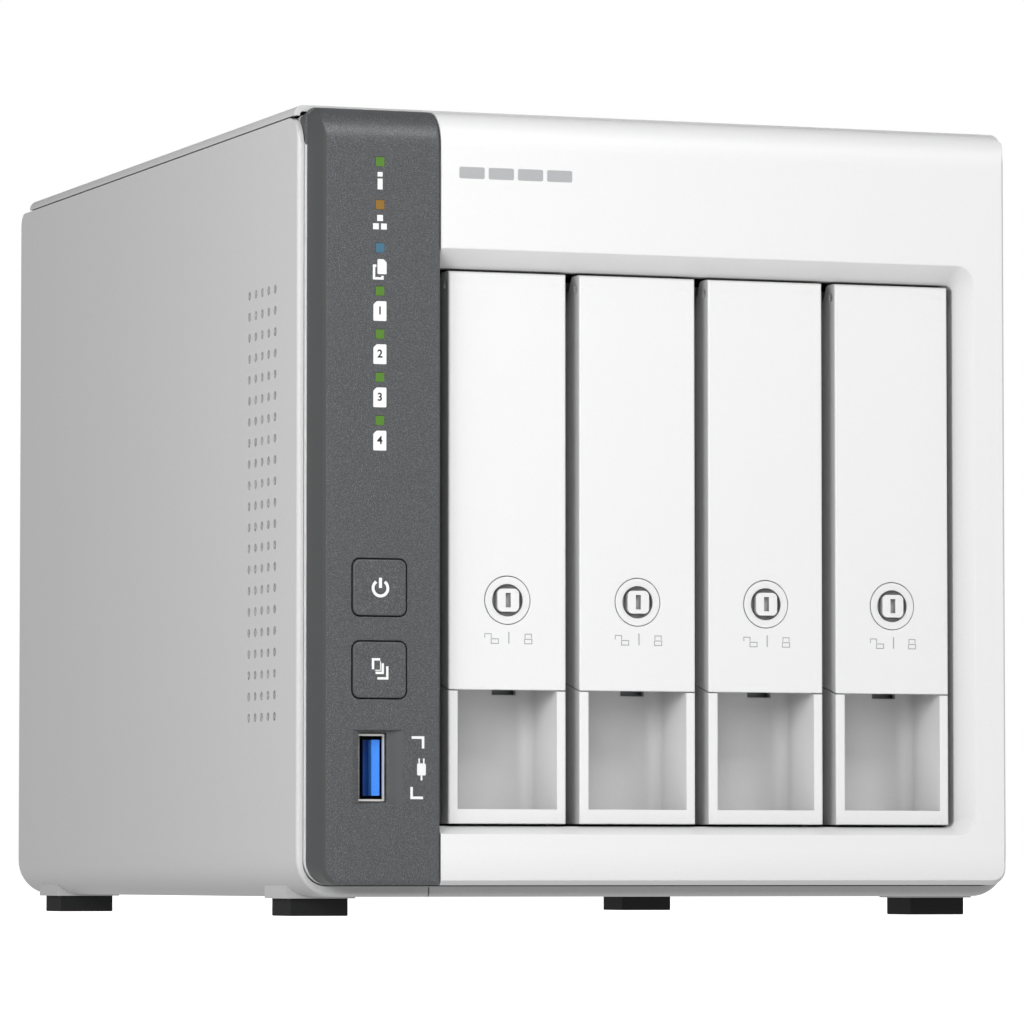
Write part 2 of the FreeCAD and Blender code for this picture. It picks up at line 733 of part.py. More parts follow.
def front_bezel():
    """White moulding with the recess for the trays."""
    outer = front_solid(0)
    shell = outer.cut(front_solid(FRONT_WALL))
    frame_space = box(
        STRIP_RIGHT_X - 3,
        OPENING_RIGHT_X + RECESS_SIDE_FLARE + RECESS_FRAME,
        Y_FRONT,
        Y_FRONT + FRAME_DEPTH,
        OPENING_BOTTOM_Z - RECESS_BOTTOM_FLARE - RECESS_FRAME,
        OPENING_TOP_Z + RECESS_TOP_FLARE + RECESS_FRAME,
    )
    backing_left = X_LEFT + SIDE_GAP + FRONT_WALL + 1.5
    backing = box(
        backing_left,
        STRIP_RIGHT_X - FRONT_WALL - 0.3,
        BACKING_FRONT_Y,
        BACKING_BACK_Y,
        BEZEL_BOTTOM_Z + FRONT_WALL + 2.6,
        BACKING_TOP_Z,
    )
    web = box(
        X_LEFT + SIDE_GAP + FRONT_WALL - 1.0,
        backing_left + 1.0,
        Y_FRONT + RIM_SETBACK + STRIP_SEAM,
        BACKING_BACK_Y + 1.5,
        BEZEL_BOTTOM_Z + 6.0,
        RIM_TOP_Z - 3.0,
    )
    ties = []
    for z0, z1 in (
        (BEZEL_BOTTOM_Z + FRONT_WALL, OPENING_BOTTOM_Z - RECESS_BOTTOM_FLARE - 2.0),
        (OPENING_TOP_Z + RECESS_TOP_FLARE + 2.0, BACKING_TOP_Z),
    ):
        x0 = STRIP_RIGHT_X - 6
        ties.append(box(x0, x0 + 8, BACKING_FRONT_Y, BACKING_BACK_Y, z0, z1))
    pillars, pilots = front_bosses()
    plate = without(backing, backing_windows())
    outside = outer.common(fused([frame_space.common(outer), shell]).cut(strip_region(STRIP_SEAM)))
    body = fused([outside, plate, web] + ties + pillars)
    return without(body, [recess()] + pilots)


def usb_scoop():
    """Shallow hollow round the front USB socket, curved about an upright axis."""
    radius = (USB_SCOOP_HALF**2 + USB_SCOOP_DEPTH**2) / (2 * USB_SCOOP_DEPTH)
    y = Y_FRONT + USB_SCOOP_DEPTH - radius
    half_z = USB_HEIGHT / 2 + USB_SCOOP_MARGIN
    return rod(radius, (USB_SCOOP_X, y, USB_Z - half_z), (USB_SCOOP_X, y, USB_Z + half_z))


def light_places():
    """Heights of the indicator lights, top first."""
    return [TOP_LIGHT_Z - i * LIGHT_PITCH for i in range(LIGHT_COUNT)]


def control_strip():
    """Dark moulding at the left of the front, wrapped over the top edge."""
    outer = front_solid(0)
    shell = outer.cut(front_solid(FRONT_WALL))
    side = box(
        STRIP_RIGHT_X - FRONT_WALL,
        STRIP_RIGHT_X,
        Y_FRONT,
        Y_FRONT + RIM_SETBACK,
        BEZEL_BOTTOM_Z + FACE_CHAMFER,
        HEIGHT - TOP_ROUND_HEIGHT - TOP_GAP,
    )
    side_space = box(
        STRIP_RIGHT_X - FRONT_WALL - 1,
        STRIP_RIGHT_X + 1,
        Y_FRONT + FRONT_WALL,
        Y_FRONT + FRAME_DEPTH + 1,
        0,
        OPENING_BOTTOM_Z - RECESS_BOTTOM_FLARE - 1,
    )
    top_space = box(
        STRIP_RIGHT_X - FRONT_WALL - 1,
        STRIP_RIGHT_X + 1,
        Y_FRONT + FRONT_WALL,
        Y_FRONT + FRAME_DEPTH + 1,
        OPENING_TOP_Z + RECESS_TOP_FLARE + 1,
        HEIGHT,
    )
    side = without(side, [side_space, top_space])
    strip = fused([shell.common(strip_region(0)), side])
    edges = []
    for edge in strip.Edges:
        bounds = edge.BoundBox
        upright = bounds.ZLength > 20 and bounds.XLength < 0.01 and bounds.YLength < 0.01
        if upright and abs(bounds.XMax - STRIP_RIGHT_X) < 0.01 and bounds.YMin < Y_FRONT + 0.01:
            edges.append(edge)
    strip = strip.makeFillet(STRIP_EDGE_ROUND, edges)
    cutters = [usb_scoop()]
    half = LIGHT_SIDE / 2 + LIGHT_CLEARANCE
    y0 = Y_FRONT - 1
    y1 = Y_FRONT + FRONT_WALL + 1
    for z in light_places():
        cutters.append(box(LIGHT_X - half, LIGHT_X + half, y0, y1, z - half, z + half))
    half = BUTTON_SIDE / 2 + BUTTON_GAP
    radius = BUTTON_RADIUS + BUTTON_GAP
    for z in (POWER_Z, COPY_Z):
        corners = rectangle(CONTROL_X - half, CONTROL_X + half, z - half, z + half, radius)
        cutters.append(along_y(corners, y0, y1))
    half_x = USB_WIDTH / 2 + USB_CLEARANCE
    half_z = USB_HEIGHT / 2 + USB_CLEARANCE
    corners = rectangle(USB_X - half_x, USB_X + half_x, USB_Z - half_z, USB_Z + half_z, 0.4)
    cutters.append(along_y(corners, y0, y1))
    return without(strip, cutters)


def light_pipes(indices):
    """Square light pipes from the strip's face to the LEDs."""
    half = LIGHT_SIDE / 2
    pipes = []
    for index in indices:
        z = light_places()[index]
        y1 = FRONT_BOARD_Y - LED_HEIGHT
        pipes.append(box(LIGHT_X - half, LIGHT_X + half, Y_FRONT, y1, z - half, z + half))
    return Part.makeCompound(pipes)


def push_button(z):
    """Square button: cap, retaining flange and stem."""
    half = BUTTON_SIDE / 2
    cap_y = Y_FRONT - BUTTON_PROUD
    back_y = cap_y + BUTTON_CAP_DEPTH
    corners = rectangle(CONTROL_X - half, CONTROL_X + half, z - half, z + half, BUTTON_RADIUS)
    cap = along_y(corners, cap_y, back_y)
    front = [edge for edge in cap.Edges if edge.BoundBox.YMax < cap_y + 0.01]
    cap = cap.makeFillet(BUTTON_EDGE, front)
    wide = half + BUTTON_FLANGE
    flange_y = Y_FRONT + FRONT_WALL + 0.2
    flange = box(CONTROL_X - wide, CONTROL_X + wide, flange_y, back_y, z - wide, z + wide)
    stem_end = FRONT_BOARD_Y - SWITCH_HEIGHT - PLUNGER_HEIGHT - BUTTON_TRAVEL - 0.1
    stem = rod(BUTTON_STEM_RADIUS, (CONTROL_X, back_y - 0.5, z), (CONTROL_X, stem_end, z))
    return fused([cap, flange, stem])


def front_usb_shell():
    """Bent metal shell of the upright front USB socket."""
    half_x = USB_WIDTH / 2
    half_z = USB_HEIGHT / 2
    y0 = Y_FRONT + USB_SETBACK
    y1 = FRONT_BOARD_Y
    outer = along_y(rectangle(USB_X - half_x, USB_X + half_x, USB_Z - half_z, USB_Z + half_z, 0.5), y0, y1)
    x_in = half_x - USB_WALL
    z_in = half_z - USB_WALL
    inner = box(USB_X - x_in, USB_X + x_in, y0 - 1, y1 - USB_BACK_WALL, USB_Z - z_in, USB_Z + z_in)
    return outer.cut(inner)


def front_usb_tongue():
    """Plastic tongue inside the front USB socket."""
    half_x = TONGUE_THICKNESS / 2
    half_z = USB_HEIGHT / 2 - USB_WALL - TONGUE_END_GAP
    x = USB_X + TONGUE_OFFSET
    y0 = Y_FRONT + USB_SETBACK + TONGUE_SETBACK
    return box(x - half_x, x + half_x, y0, FRONT_BOARD_Y - USB_BACK_WALL, USB_Z - half_z, USB_Z + half_z)


# ---- Front board --------------------------------------------------------------------------
def front_board():
    """Circuit board behind the control strip."""
    x0 = X_LEFT + SIDE_GAP + FRONT_WALL + 0.8
    x1 = STRIP_RIGHT_X - FRONT_WALL - 1.0
    board = box(x0, x1, FRONT_BOARD_Y, FRONT_BOARD_Y + BOARD, 13.0, HEIGHT - 8.5)
    holes = []
    for x, z in front_board_screws():
        start = (x, FRONT_BOARD_Y - 1, z)
        holes.append(rod(SCREW_RADIUS + SCREW_CLEARANCE, start, (x, FRONT_BOARD_Y + 3, z)))
    return without(board, holes)


def indicator_leds():
    """Seven small LEDs on the front board."""
    chips = []
    for z in light_places():
        y0 = FRONT_BOARD_Y - LED_HEIGHT
        chips.append(box(LIGHT_X - 1.0, LIGHT_X + 1.0, y0, FRONT_BOARD_Y, z - 0.8, z + 0.8))
    return Part.makeCompound(chips)


def push_switches():
    """Three identical push switches: two behind the buttons, one for the reset button."""
    half = SWITCH_SIDE / 2
    switches = []
    for z in (POWER_Z, COPY_Z):
        y0 = FRONT_BOARD_Y - SWITCH_HEIGHT
        body = box(CONTROL_X - half, CONTROL_X + half, y0, FRONT_BOARD_Y, z - half, z + half)
        tip = rod(PLUNGER_RADIUS, (CONTROL_X, y0 + 0.5, z), (CONTROL_X, y0 - PLUNGER_HEIGHT, z))
        switches.append(fused([body, tip]))
    x, y0 = reset_place()
    body = box(x - half, MAINBOARD_X - BOARD, y0 - SWITCH_HEIGHT, y0, RESET_Z - half, RESET_Z + half)
    tip = rod(PLUNGER_RADIUS, (x, y0 - 0.5, RESET_Z), (x, y0 + PLUNGER_HEIGHT, RESET_Z))
    switches.append(fused([body, tip]))
    return Part.makeCompound(switches)


def ribbon_cable():
    """Flat cable with a plug at each end, from the front board to the mainboard."""
    x_board = MAINBOARD_X - BOARD
    z0 = RIBBON_BOTTOM_Z
    z1 = RIBBON_TOP_Z
    front_y = FRONT_BOARD_Y + BOARD
    front_plug = box(x_board - 3.5, x_board + 0.6, front_y, front_y + RIBBON_PLUG, z0 - 1, z1 + 1)
    rear_y = MAINBOARD_FRONT_Y + 3
    rear_plug = box(x_board - RIBBON_PLUG, x_board, rear_y, rear_y + 5, z0 - 1, z1 + 1)
    flat = box(x_board - 1.8, x_board - 1.4, front_y + 2.5, MAINBOARD_FRONT_Y + 4, z0, z1)
    return fused([front_plug, flat, rear_plug])


# ---- Drives and trays ---------------------------------------------------------------------
def drive_hole_ys():
    """Depths of the screw holes in a drive's long edges."""
    return [DRIVE_REAR_Y - distance for distance in DRIVE_HOLES_FROM_REAR]


def hard_drive(index):
    """Standard drive on its edge, with its screw holes and connector notch."""
    x = tray_x(index)
    half = DRIVE_WIDTH / 2
    corners = [
        (x - half, DRIVE_FRONT_Y, DRIVE_FRONT_RADIUS),
        (x + half, DRIVE_FRONT_Y, DRIVE_FRONT_RADIUS),
        (x + half, DRIVE_REAR_Y, DRIVE_REAR_RADIUS),
        (x - half, DRIVE_REAR_Y, DRIVE_REAR_RADIUS),
    ]
    body = along_z(corners, DRIVE_BOTTOM_Z, DRIVE_TOP_Z)
    cutters = []
    for y in drive_hole_ys():
        low = (x, y, DRIVE_BOTTOM_Z - 1)
        cutters.append(rod(DRIVE_HOLE_RADIUS, low, (x, y, DRIVE_BOTTOM_Z + DRIVE_HOLE_DEPTH)))
        high = (x, y, DRIVE_TOP_Z + 1)
        cutters.append(rod(DRIVE_HOLE_RADIUS, high, (x, y, DRIVE_TOP_Z - DRIVE_HOLE_DEPTH)))
    cx = x + CONNECTOR_OFFSET_X
    cz = DRIVE_BOTTOM_Z + CONNECTOR_OFFSET_Z
    half_x = CONNECTOR_WIDTH / 2 + CONNECTOR_CLEARANCE
    half_z = CONNECTOR_LENGTH / 2 + CONNECTOR_CLEARANCE
    y0 = DRIVE_REAR_Y - CONNECTOR_NOTCH
    cutters.append(box(cx - half_x, cx + half_x, y0, DRIVE_REAR_Y + 1, cz - half_z, cz + half_z))
    low_z = DRIVE_BOTTOM_Z + DRIVE_BOARD_MARGIN
    high_z = DRIVE_TOP_Z - DRIVE_BOARD_MARGIN
    y0 = DRIVE_FRONT_Y + DRIVE_BOARD_SETBACK
    y1 = DRIVE_REAR_Y - CONNECTOR_NOTCH - 4
    cutters.append(box(x - half - 1, x - half + DRIVE_BOARD_DEPTH, y0, y1, low_z, high_z))
    return without(body, cutters)


def tray_plan(x, y0, y1, edge):
    """Plan outline of a tray's front block with eased front corners."""
    half = TRAY_WIDTH / 2
    return [(x - half, y0, edge), (x + half, y0, edge), (x + half, y1, 0), (x - half, y1, 0)]


def parting_wedge(x, lift):
    """Space above the sloping parting line between pocket and handle."""
    half = TRAY_WIDTH / 2 + 1
    far = TRAY_PLATE_Y + 5
    rise = PART_LINE_RISE * (far - TRAY_FRONT_Y)
    start = SPLIT_Z + lift
    ahead = PART_LINE_RISE * 2
    corners = [
        (TRAY_FRONT_Y - 2, start - ahead, 0),
        (far, start + rise, 0),
        (far, TRAY_TOP_Z + 9, 0),
        (TRAY_FRONT_Y - 2, TRAY_TOP_Z + 9, 0),
    ]
    return along_x(corners, x - half, x + half)


def pocket_hollow(x):
    """Finger space: the pocket and the room behind the handle's lower edge."""
    half = TRAY_WIDTH / 2 - POCKET_SIDE_WALL
    low = TRAY_BOTTOM_Z + POCKET_SILL
    corners = [
        (x - half, TRAY_FRONT_Y - 2, 0),
        (x + half, TRAY_FRONT_Y - 2, 0),
        (x + half, TRAY_PLATE_Y, POCKET_RADIUS),
        (x - half, TRAY_PLATE_Y, POCKET_RADIUS),
    ]
    return along_z(corners, low, SPLIT_Z + POCKET_HEAD)


def tray_rail(x, z0, z1):
    """Rail along one long edge of the drive."""
    half = RAIL_WIDTH / 2
    return box(x - half, x + half, TRAY_PLATE_Y, DRIVE_REAR_Y + RAIL_OVERRUN, z0, z1)


def drive_pins(x):
    """Pins that sit in the drive's screw holes."""
    radius = DRIVE_HOLE_RADIUS - DRIVE_PIN_GAP
    pins = []
    for y in drive_hole_ys():
        low = DRIVE_BOTTOM_Z - DRIVE_GAP
        pins.append(rod(radius, (x, y, low - 0.5), (x, y, low + DRIVE_PIN_REACH)))
        high = DRIVE_TOP_Z + DRIVE_GAP
        pins.append(rod(radius, (x, y, high + 0.5), (x, y, high - DRIVE_PIN_REACH)))
    return pins


def handle_space(x):
    """Room that the handle and its pivot take in front of the tray's plate."""
    half = TRAY_WIDTH / 2 + 1
    y1 = TRAY_FRONT_Y + HANDLE_DEPTH + 0.4
    block = box(x - half, x + half, TRAY_FRONT_Y - 2, y1, TRAY_BOTTOM_Z, TRAY_TOP_Z + 5)
    return block.common(parting_wedge(x, 0))


def pivot_ears(x):
    """Two ears on the tray that hold the ends of the hinge pin."""
    ears = []
    half = TRAY_WIDTH / 2 - HANDLE_WALL - EAR_GAP
    for side in (-1, 1):
        x0 = x + side * half
        x1 = x + side * (half - EAR_WIDTH)
        low, high = min(x0, x1), max(x0, x1)
        arm = box(low, high, PIVOT_Y, TRAY_PLATE_Y + 0.5, PIVOT_Z - EAR_RADIUS, PIVOT_Z + EAR_ARM_TOP)
        ears.append(fused([arm, rod(EAR_RADIUS, (low, PIVOT_Y, PIVOT_Z), (high, PIVOT_Y, PIVOT_Z))]))
    return ears


def tray_carrier(index):
    """Tray frame: finger pocket, front plate, two rails and a rear crossbar."""
    x = tray_x(index)
    back_y = TRAY_PLATE_Y + POCKET_BACK_WALL
    block = along_z(tray_plan(x, TRAY_FRONT_Y, back_y, TRAY_EDGE), TRAY_BOTTOM_Z, SPLIT_Z + POCKET_HEAD)
    plate = along_z(tray_plan(x, TRAY_PLATE_Y, back_y, 0), TRAY_BOTTOM_Z, TRAY_TOP_Z)
    block = without(block, [handle_space(x), pocket_hollow(x)])
    low_rail = tray_rail(x, TRAY_BOTTOM_Z + RAIL_MARGIN, DRIVE_BOTTOM_Z - DRIVE_GAP)
    high_rail = tray_rail(x, DRIVE_TOP_Z + DRIVE_GAP, TRAY_TOP_Z - RAIL_MARGIN)
    bar_y = DRIVE_REAR_Y + 1.0
    bar_z0 = TRAY_BOTTOM_Z + RAIL_MARGIN
    bar = box(x + 2.0, x + RAIL_WIDTH / 2, bar_y, bar_y + CROSSBAR, bar_z0, TRAY_TOP_Z - RAIL_MARGIN)
    body = fused([block, plate, low_rail, high_rail, bar] + drive_pins(x) + pivot_ears(x))
    slot_x = x + LATCH_SLOT_X - LATCH_SLOT_WIDTH / 2
    slot_z = SPLIT_Z - 0.25
    slot = box(
        slot_x,
        slot_x + LATCH_SLOT_WIDTH,
        TRAY_PLATE_Y - 1,
        back_y + 1,
        slot_z,
        slot_z + LATCH_SLOT_HEIGHT,
    )
    arm_slot_z = LOCK_Z + LOCK_RADIUS
    arm_slot = box(
        x - LOCK_ARM_LENGTH - 6,
        x + LOCK_ARM_LENGTH + 6,
        TRAY_PLATE_Y - 1,
        back_y + 1,
        arm_slot_z,
        arm_slot_z + 4,
    )
    pin = rod(PIN_RADIUS, (x - TRAY_WIDTH, PIVOT_Y, PIVOT_Z), (x + TRAY_WIDTH, PIVOT_Y, PIVOT_Z))
    vents = []
    half = TRAY_VENT_HALF
    for row in range(TRAY_VENTS):
        z = arm_slot_z + 10 + row * TRAY_VENT_PITCH
        vents.append(box(x - half, x + half, TRAY_PLATE_Y - 1, back_y + 1, z, z + TRAY_VENT_HEIGHT))
    return without(body, [slot, arm_slot, pin] + vents)


def tray_handle(index):
    """Upper front panel of a tray, hinged near its top edge, with the hole for the lock."""
    x = tray_x(index)
    y_back = TRAY_FRONT_Y + HANDLE_DEPTH
    half = TRAY_WIDTH / 2
    side_view = [
        (TRAY_FRONT_Y, SPLIT_Z - 5, 0),
        (y_back, SPLIT_Z - 5, 0),
        (y_back, TRAY_TOP_Z - HANDLE_TOP_DROP, HANDLE_HEEL_RADIUS),
        (PIVOT_Y + HANDLE_TOP_DEPTH, TRAY_TOP_Z, HANDLE_BACK_RADIUS),
        (TRAY_FRONT_Y, TRAY_TOP_Z, HANDLE_TOP_RADIUS),
    ]
    block = along_x(side_view, x - half, x + half)
    block = block.common(along_z(tray_plan(x, TRAY_FRONT_Y, y_back + 1, TRAY_EDGE), 0, HEIGHT))
    block = block.common(parting_wedge(x, HANDLE_GAP))
    inner = half - HANDLE_WALL
    hollow = box(
        x - inner,
        x + inner,
        TRAY_FRONT_Y + HANDLE_PLATE,
        y_back + 1,
        SPLIT_Z - 1,
        TRAY_TOP_Z - HANDLE_HOLLOW_DROP,
    )
    knuckle = half - HANDLE_WALL - EAR_WIDTH - 2 * EAR_GAP
    ear_spaces = []
    for side in (-1, 1):
        x0 = x + side * knuckle
        x1 = x + side * (half - HANDLE_WALL)
        low, high = min(x0, x1), max(x0, x1)
        space = box(low, high, PIVOT_Y, y_back + 1, PIVOT_Z - EAR_RADIUS - 9, PIVOT_Z + 8)
        swing = rod(EAR_RADIUS + EAR_SWING_GAP, (low, PIVOT_Y, PIVOT_Z), (high, PIVOT_Y, PIVOT_Z))
        ear_spaces.append(fused([space, swing]))
    lock_hole = rod(LOCK_RADIUS, (x, TRAY_FRONT_Y - 1, LOCK_Z), (x, y_back, LOCK_Z))
    bore = PIN_RADIUS + PIN_CLEARANCE
    pin_hole = rod(bore, (x - TRAY_WIDTH, PIVOT_Y, PIVOT_Z), (x + TRAY_WIDTH, PIVOT_Y, PIVOT_Z))
    return without(block, [hollow, lock_hole, pin_hole] + ear_spaces)


def hinge_pin(index):
    """Steel pin of one tray's handle."""
    x = tray_x(index)
    half = TRAY_WIDTH / 2 - HINGE_PIN_INSET
    return rod(PIN_RADIUS, (x - half, PIVOT_Y, PIVOT_Z), (x + half, PIVOT_Y, PIVOT_Z))


def tray_lock(index):
    """Turning lock in a handle: round plug with a well, a square knob and a rear arm."""
    x = tray_x(index)
    radius = LOCK_RADIUS - LOCK_CLEARANCE
    y0 = TRAY_FRONT_Y
    plate_back = TRAY_FRONT_Y + HANDLE_PLATE
    plug = rod(radius, (x, y0, LOCK_Z), (x, plate_back + 1.0, LOCK_Z))
    well = rod(radius - LOCK_RING, (x, y0 - 1, LOCK_Z), (x, y0 + LOCK_WELL_DEPTH, LOCK_Z))
    plug = plug.cut(well)
    half = LOCK_KNOB_SIDE / 2
    corners = rectangle(x - half, x + half, LOCK_Z - half, LOCK_Z + half, LOCK_KNOB_RADIUS)
    knob = along_y(corners, y0 - LOCK_KNOB_PROUD, y0 + LOCK_WELL_DEPTH + 0.3)
    reach = half - LOCK_SLOT_MARGIN
    thick = LOCK_SLOT_HALF
    slot = box(x - thick, x + thick, y0 - 1, y0 + LOCK_SLOT_DEPTH, LOCK_Z - reach, LOCK_Z + reach)
    knob = knob.cut(slot)
    flange_y = plate_back + LOCK_FLANGE_GAP
    flange_r = radius + LOCK_FLANGE
    flange = rod(flange_r, (x, flange_y, LOCK_Z), (x, flange_y + LOCK_FLANGE_DEPTH, LOCK_Z))
    half_arm = LOCK_ARM_WIDTH / 2
    arm = box(
        x - half_arm,
        x + half_arm,
        flange_y,
        flange_y + LOCK_ARM_THICKNESS,
        LOCK_Z,
        LOCK_Z + LOCK_ARM_LENGTH + 2,
    )
    return fused([plug, knob, flange, arm])


# ---- Drive cage ---------------------------------------------------------------------------
def drive_cage():
    """Folded steel cage that stands on the bottom cover."""
    left = CAGE_LEFT_X
    right = CAGE_RIGHT_X
    front = CAGE_FRONT_Y
    rear = CAGE_REAR_Y
    sheets = [
        box(left - SHEET, left, front, rear, FLOOR_Z, CAGE_TOP_Z + SHEET),
        box(right, right + SHEET, front, rear, FLOOR_Z, CAGE_TOP_Z + SHEET),
        box(left - SHEET, right + SHEET, front, rear, CAGE_TOP_Z, CAGE_TOP_Z + SHEET),
        box(left - SHEET, right + SHEET, front, rear, CAGE_BOTTOM_Z - SHEET, CAGE_BOTTOM_Z),
        box(left, right, rear - SHEET, rear, CAGE_TOP_Z, CAGE_TOP_Z + CAGE_FLANGE),
        box(left, right, rear - SHEET, rear, FLOOR_Z + 1, CAGE_BOTTOM_Z),
        box(left, left + CAGE_FLANGE, front, rear - CAGE_FOOT_MARGIN, FLOOR_Z, FLOOR_Z + SHEET),
        box(right - CAGE_FLANGE, right, front, rear - CAGE_FOOT_MARGIN, FLOOR_Z, FLOOR_Z + SHEET),
    ]
    cutters = []
    for y, z in standoff_places():
        cutters.append(rod(SCREW_RADIUS, (left - SHEET - 1, y, z), (left + 1, y, z)))
    for x, z in backplane_screws():
        cutters.append(rod(SCREW_RADIUS, (x, rear - SHEET - 1, z), (x, rear + 1, z)))
    y0 = front + CAGE_SLOT_MARGIN
    y1 = rear - CAGE_SLOT_MARGIN
    for row in range(CAGE_SLOTS):
        z = CAGE_SLOT_FIRST_Z + CAGE_SLOT_PITCH * row
        cutters.append(box(right - 1, right + SHEET + 1, y0, y1, z, z + CAGE_SLOT_HEIGHT))
    return without(fused(sheets), cutters)


def guide_ribs(z0, z1):
    """Upright ribs that part the trays, one in each gap and one at each side."""
    ribs = []
    for index in range(TRAY_COUNT + 1):
        x = FIRST_TRAY_X + (index - 0.5) * TRAY_PITCH
        x0 = max(x - GUIDE_RIB / 2, CAGE_LEFT_X)
        x1 = min(x + GUIDE_RIB / 2, CAGE_RIGHT_X)
        ribs.append(box(x0, x1, CAGE_FRONT_Y + 4, DRIVE_REAR_Y, z0, z1))
    return ribs


def upper_guides():
    """Plastic guide plate above the trays."""
    plate = box(CAGE_LEFT_X, CAGE_RIGHT_X, CAGE_FRONT_Y + 1, DRIVE_REAR_Y + 4, GUIDE_TOP_Z, CAGE_TOP_Z)
    return fused([plate] + guide_ribs(GUIDE_TOP_Z - GUIDE_RIB_OVERLAP, CAGE_TOP_Z))


def lower_guides():
    """Plastic guide plate below the trays."""
    y0 = CAGE_FRONT_Y + 1
    y1 = DRIVE_REAR_Y + 4
    plate = box(CAGE_LEFT_X, CAGE_RIGHT_X, y0, y1, CAGE_BOTTOM_Z, GUIDE_BOTTOM_Z)
    return fused([plate] + guide_ribs(CAGE_BOTTOM_Z, GUIDE_BOTTOM_Z + GUIDE_RIB_OVERLAP))


# ---- Backplane ----------------------------------------------------------------------------
def backplane_screws():
    """Screw places of the backplane on the cage's upper flange."""
    z = CAGE_TOP_Z + CAGE_FLANGE / 2 + 0.5
    return [(CAGE_LEFT_X + 10, z), ((CAGE_LEFT_X + CAGE_RIGHT_X) / 2, z), (CAGE_RIGHT_X - 10, z)]


def backplane_board():
    """Board behind the drives, with slots for the cooling air."""
    board = box(
        MAINBOARD_X + 0.1,
        CAGE_RIGHT_X,
        BACKPLANE_Y,
        BACKPLANE_Y + BOARD,
        FLOOR_Z + 2,
        CAGE_TOP_Z + CAGE_FLANGE,
    )
    cutters = []
    for index in range(TRAY_COUNT):
        x = tray_x(index)
        z0 = DRIVE_BOTTOM_Z + CONNECTOR_OFFSET_Z + CONNECTOR_LENGTH / 2 + 8
        cutters.append(box(x - 10, x + 10, BACKPLANE_Y - 1, BACKPLANE_Y + 3, z0, DRIVE_TOP_Z))
    for x, z in backplane_screws():
        start = (x, BACKPLANE_Y - 1, z)
        cutters.append(rod(SCREW_RADIUS + SCREW_CLEARANCE, start, (x, BACKPLANE_Y + 3, z)))
    return without(board, cutters)


def drive_connectors():
    """Four drive sockets on the backplane."""
    sockets = []
    for index in range(TRAY_COUNT):
        cx = tray_x(index) + CONNECTOR_OFFSET_X
        cz = DRIVE_BOTTOM_Z + CONNECTOR_OFFSET_Z
        half_x = CONNECTOR_WIDTH / 2
        half_z = CONNECTOR_LENGTH / 2
        y0 = DRIVE_REAR_Y - CONNECTOR_NOTCH + 1.0
        sockets.append(box(cx - half_x, cx + half_x, y0, BACKPLANE_Y, cz - half_z, cz + half_z))
    return Part.makeCompound(sockets)


def link_connector():
    """Connector that joins the backplane to the mainboard."""
    y0 = BACKPLANE_Y + BOARD
    z0 = HEATSINK_Z - LINK_HEIGHT / 2
    return box(MAINBOARD_X, MAINBOARD_X + LINK_WIDTH, y0, y0 + LINK_DEPTH, z0, z0 + LINK_HEIGHT)


# ---- Mainboard ----------------------------------------------------------------------------
def standoff_places():
    """Fixing places of the mainboard on the cage wall."""
    ys = (MAINBOARD_FRONT_Y + 8, CAGE_REAR_Y - 14)
    return [(y, z) for y in ys for z in (MAINBOARD_BOTTOM_Z + 18, CAGE_TOP_Z - 12)]


def mainboard():
    """Upright main circuit board beside the cage."""
    x1 = MAINBOARD_X
    board = box(
        x1 - BOARD,
        x1,
        MAINBOARD_FRONT_Y,
        REAR_INNER_Y - 1.0,
        MAINBOARD_BOTTOM_Z,
        MAINBOARD_TOP_Z,
    )
    holes = []
    for y, z in standoff_places():
        holes.append(rod(SCREW_RADIUS + SCREW_CLEARANCE, (x1 - BOARD - 1, y, z), (x1 + 1, y, z)))
    return without(board, holes)


def board_standoffs():
    """Brass spacers between the cage wall and the mainboard."""
    posts = []
    for y, z in standoff_places():
        x1 = CAGE_LEFT_X - SHEET
        post = rod(STANDOFF_RADIUS, (MAINBOARD_X, y, z), (x1, y, z))
        bore = rod(SCREW_RADIUS, (MAINBOARD_X - 1, y, z), (x1 + 1, y, z))
        posts.append(post.cut(bore))
    return Part.makeCompound(posts)


def board_chips():
    """Processor and memory chips."""
    x1 = MAINBOARD_X - BOARD
    x0 = x1 - CHIP_HEIGHT
    places = [(HEATSINK_Y, HEATSINK_Z, PROCESSOR_SIDE, PROCESSOR_SIDE)]
    for row in range(MEMORY_COUNT):
        z = HEATSINK_Z + (row - (MEMORY_COUNT - 1) / 2) * MEMORY_PITCH
        places.append((HEATSINK_Y + 36, z, MEMORY_LENGTH, MEMORY_HEIGHT))
    chips = []
    for y, z, long, tall in places:
        chips.append(box(x0, x1, y - long / 2, y + long / 2, z - tall / 2, z + tall / 2))
    return Part.makeCompound(chips)


def heatsink():
    """Finned heatsink on the processor."""
    x1 = MAINBOARD_X - BOARD - CHIP_HEIGHT
    half = HEATSINK_SIDE / 2
    y0 = HEATSINK_Y - half
    z0 = HEATSINK_Z - half
    parts = [box(x1 - HEATSINK_BASE, x1, y0, y0 + HEATSINK_SIDE, z0, z0 + HEATSINK_SIDE)]
    step = (HEATSINK_SIDE - HEATSINK_FIN) / (HEATSINK_FINS - 1)
    for index in range(HEATSINK_FINS):
        y = y0 + index * step
        parts.append(box(x1 - HEATSINK_HEIGHT, x1, y, y + HEATSINK_FIN, z0, z0 + HEATSINK_SIDE))
    return fused(parts)


def coin_cell():
    """Round clock battery, flat on the mainboard."""
    x1 = MAINBOARD_X - BOARD
    y = HEATSINK_Y
    z = MAINBOARD_BOTTOM_Z + 25
    return rod(CELL_RADIUS, (x1, y, z), (x1 - CELL_THICKNESS, y, z))


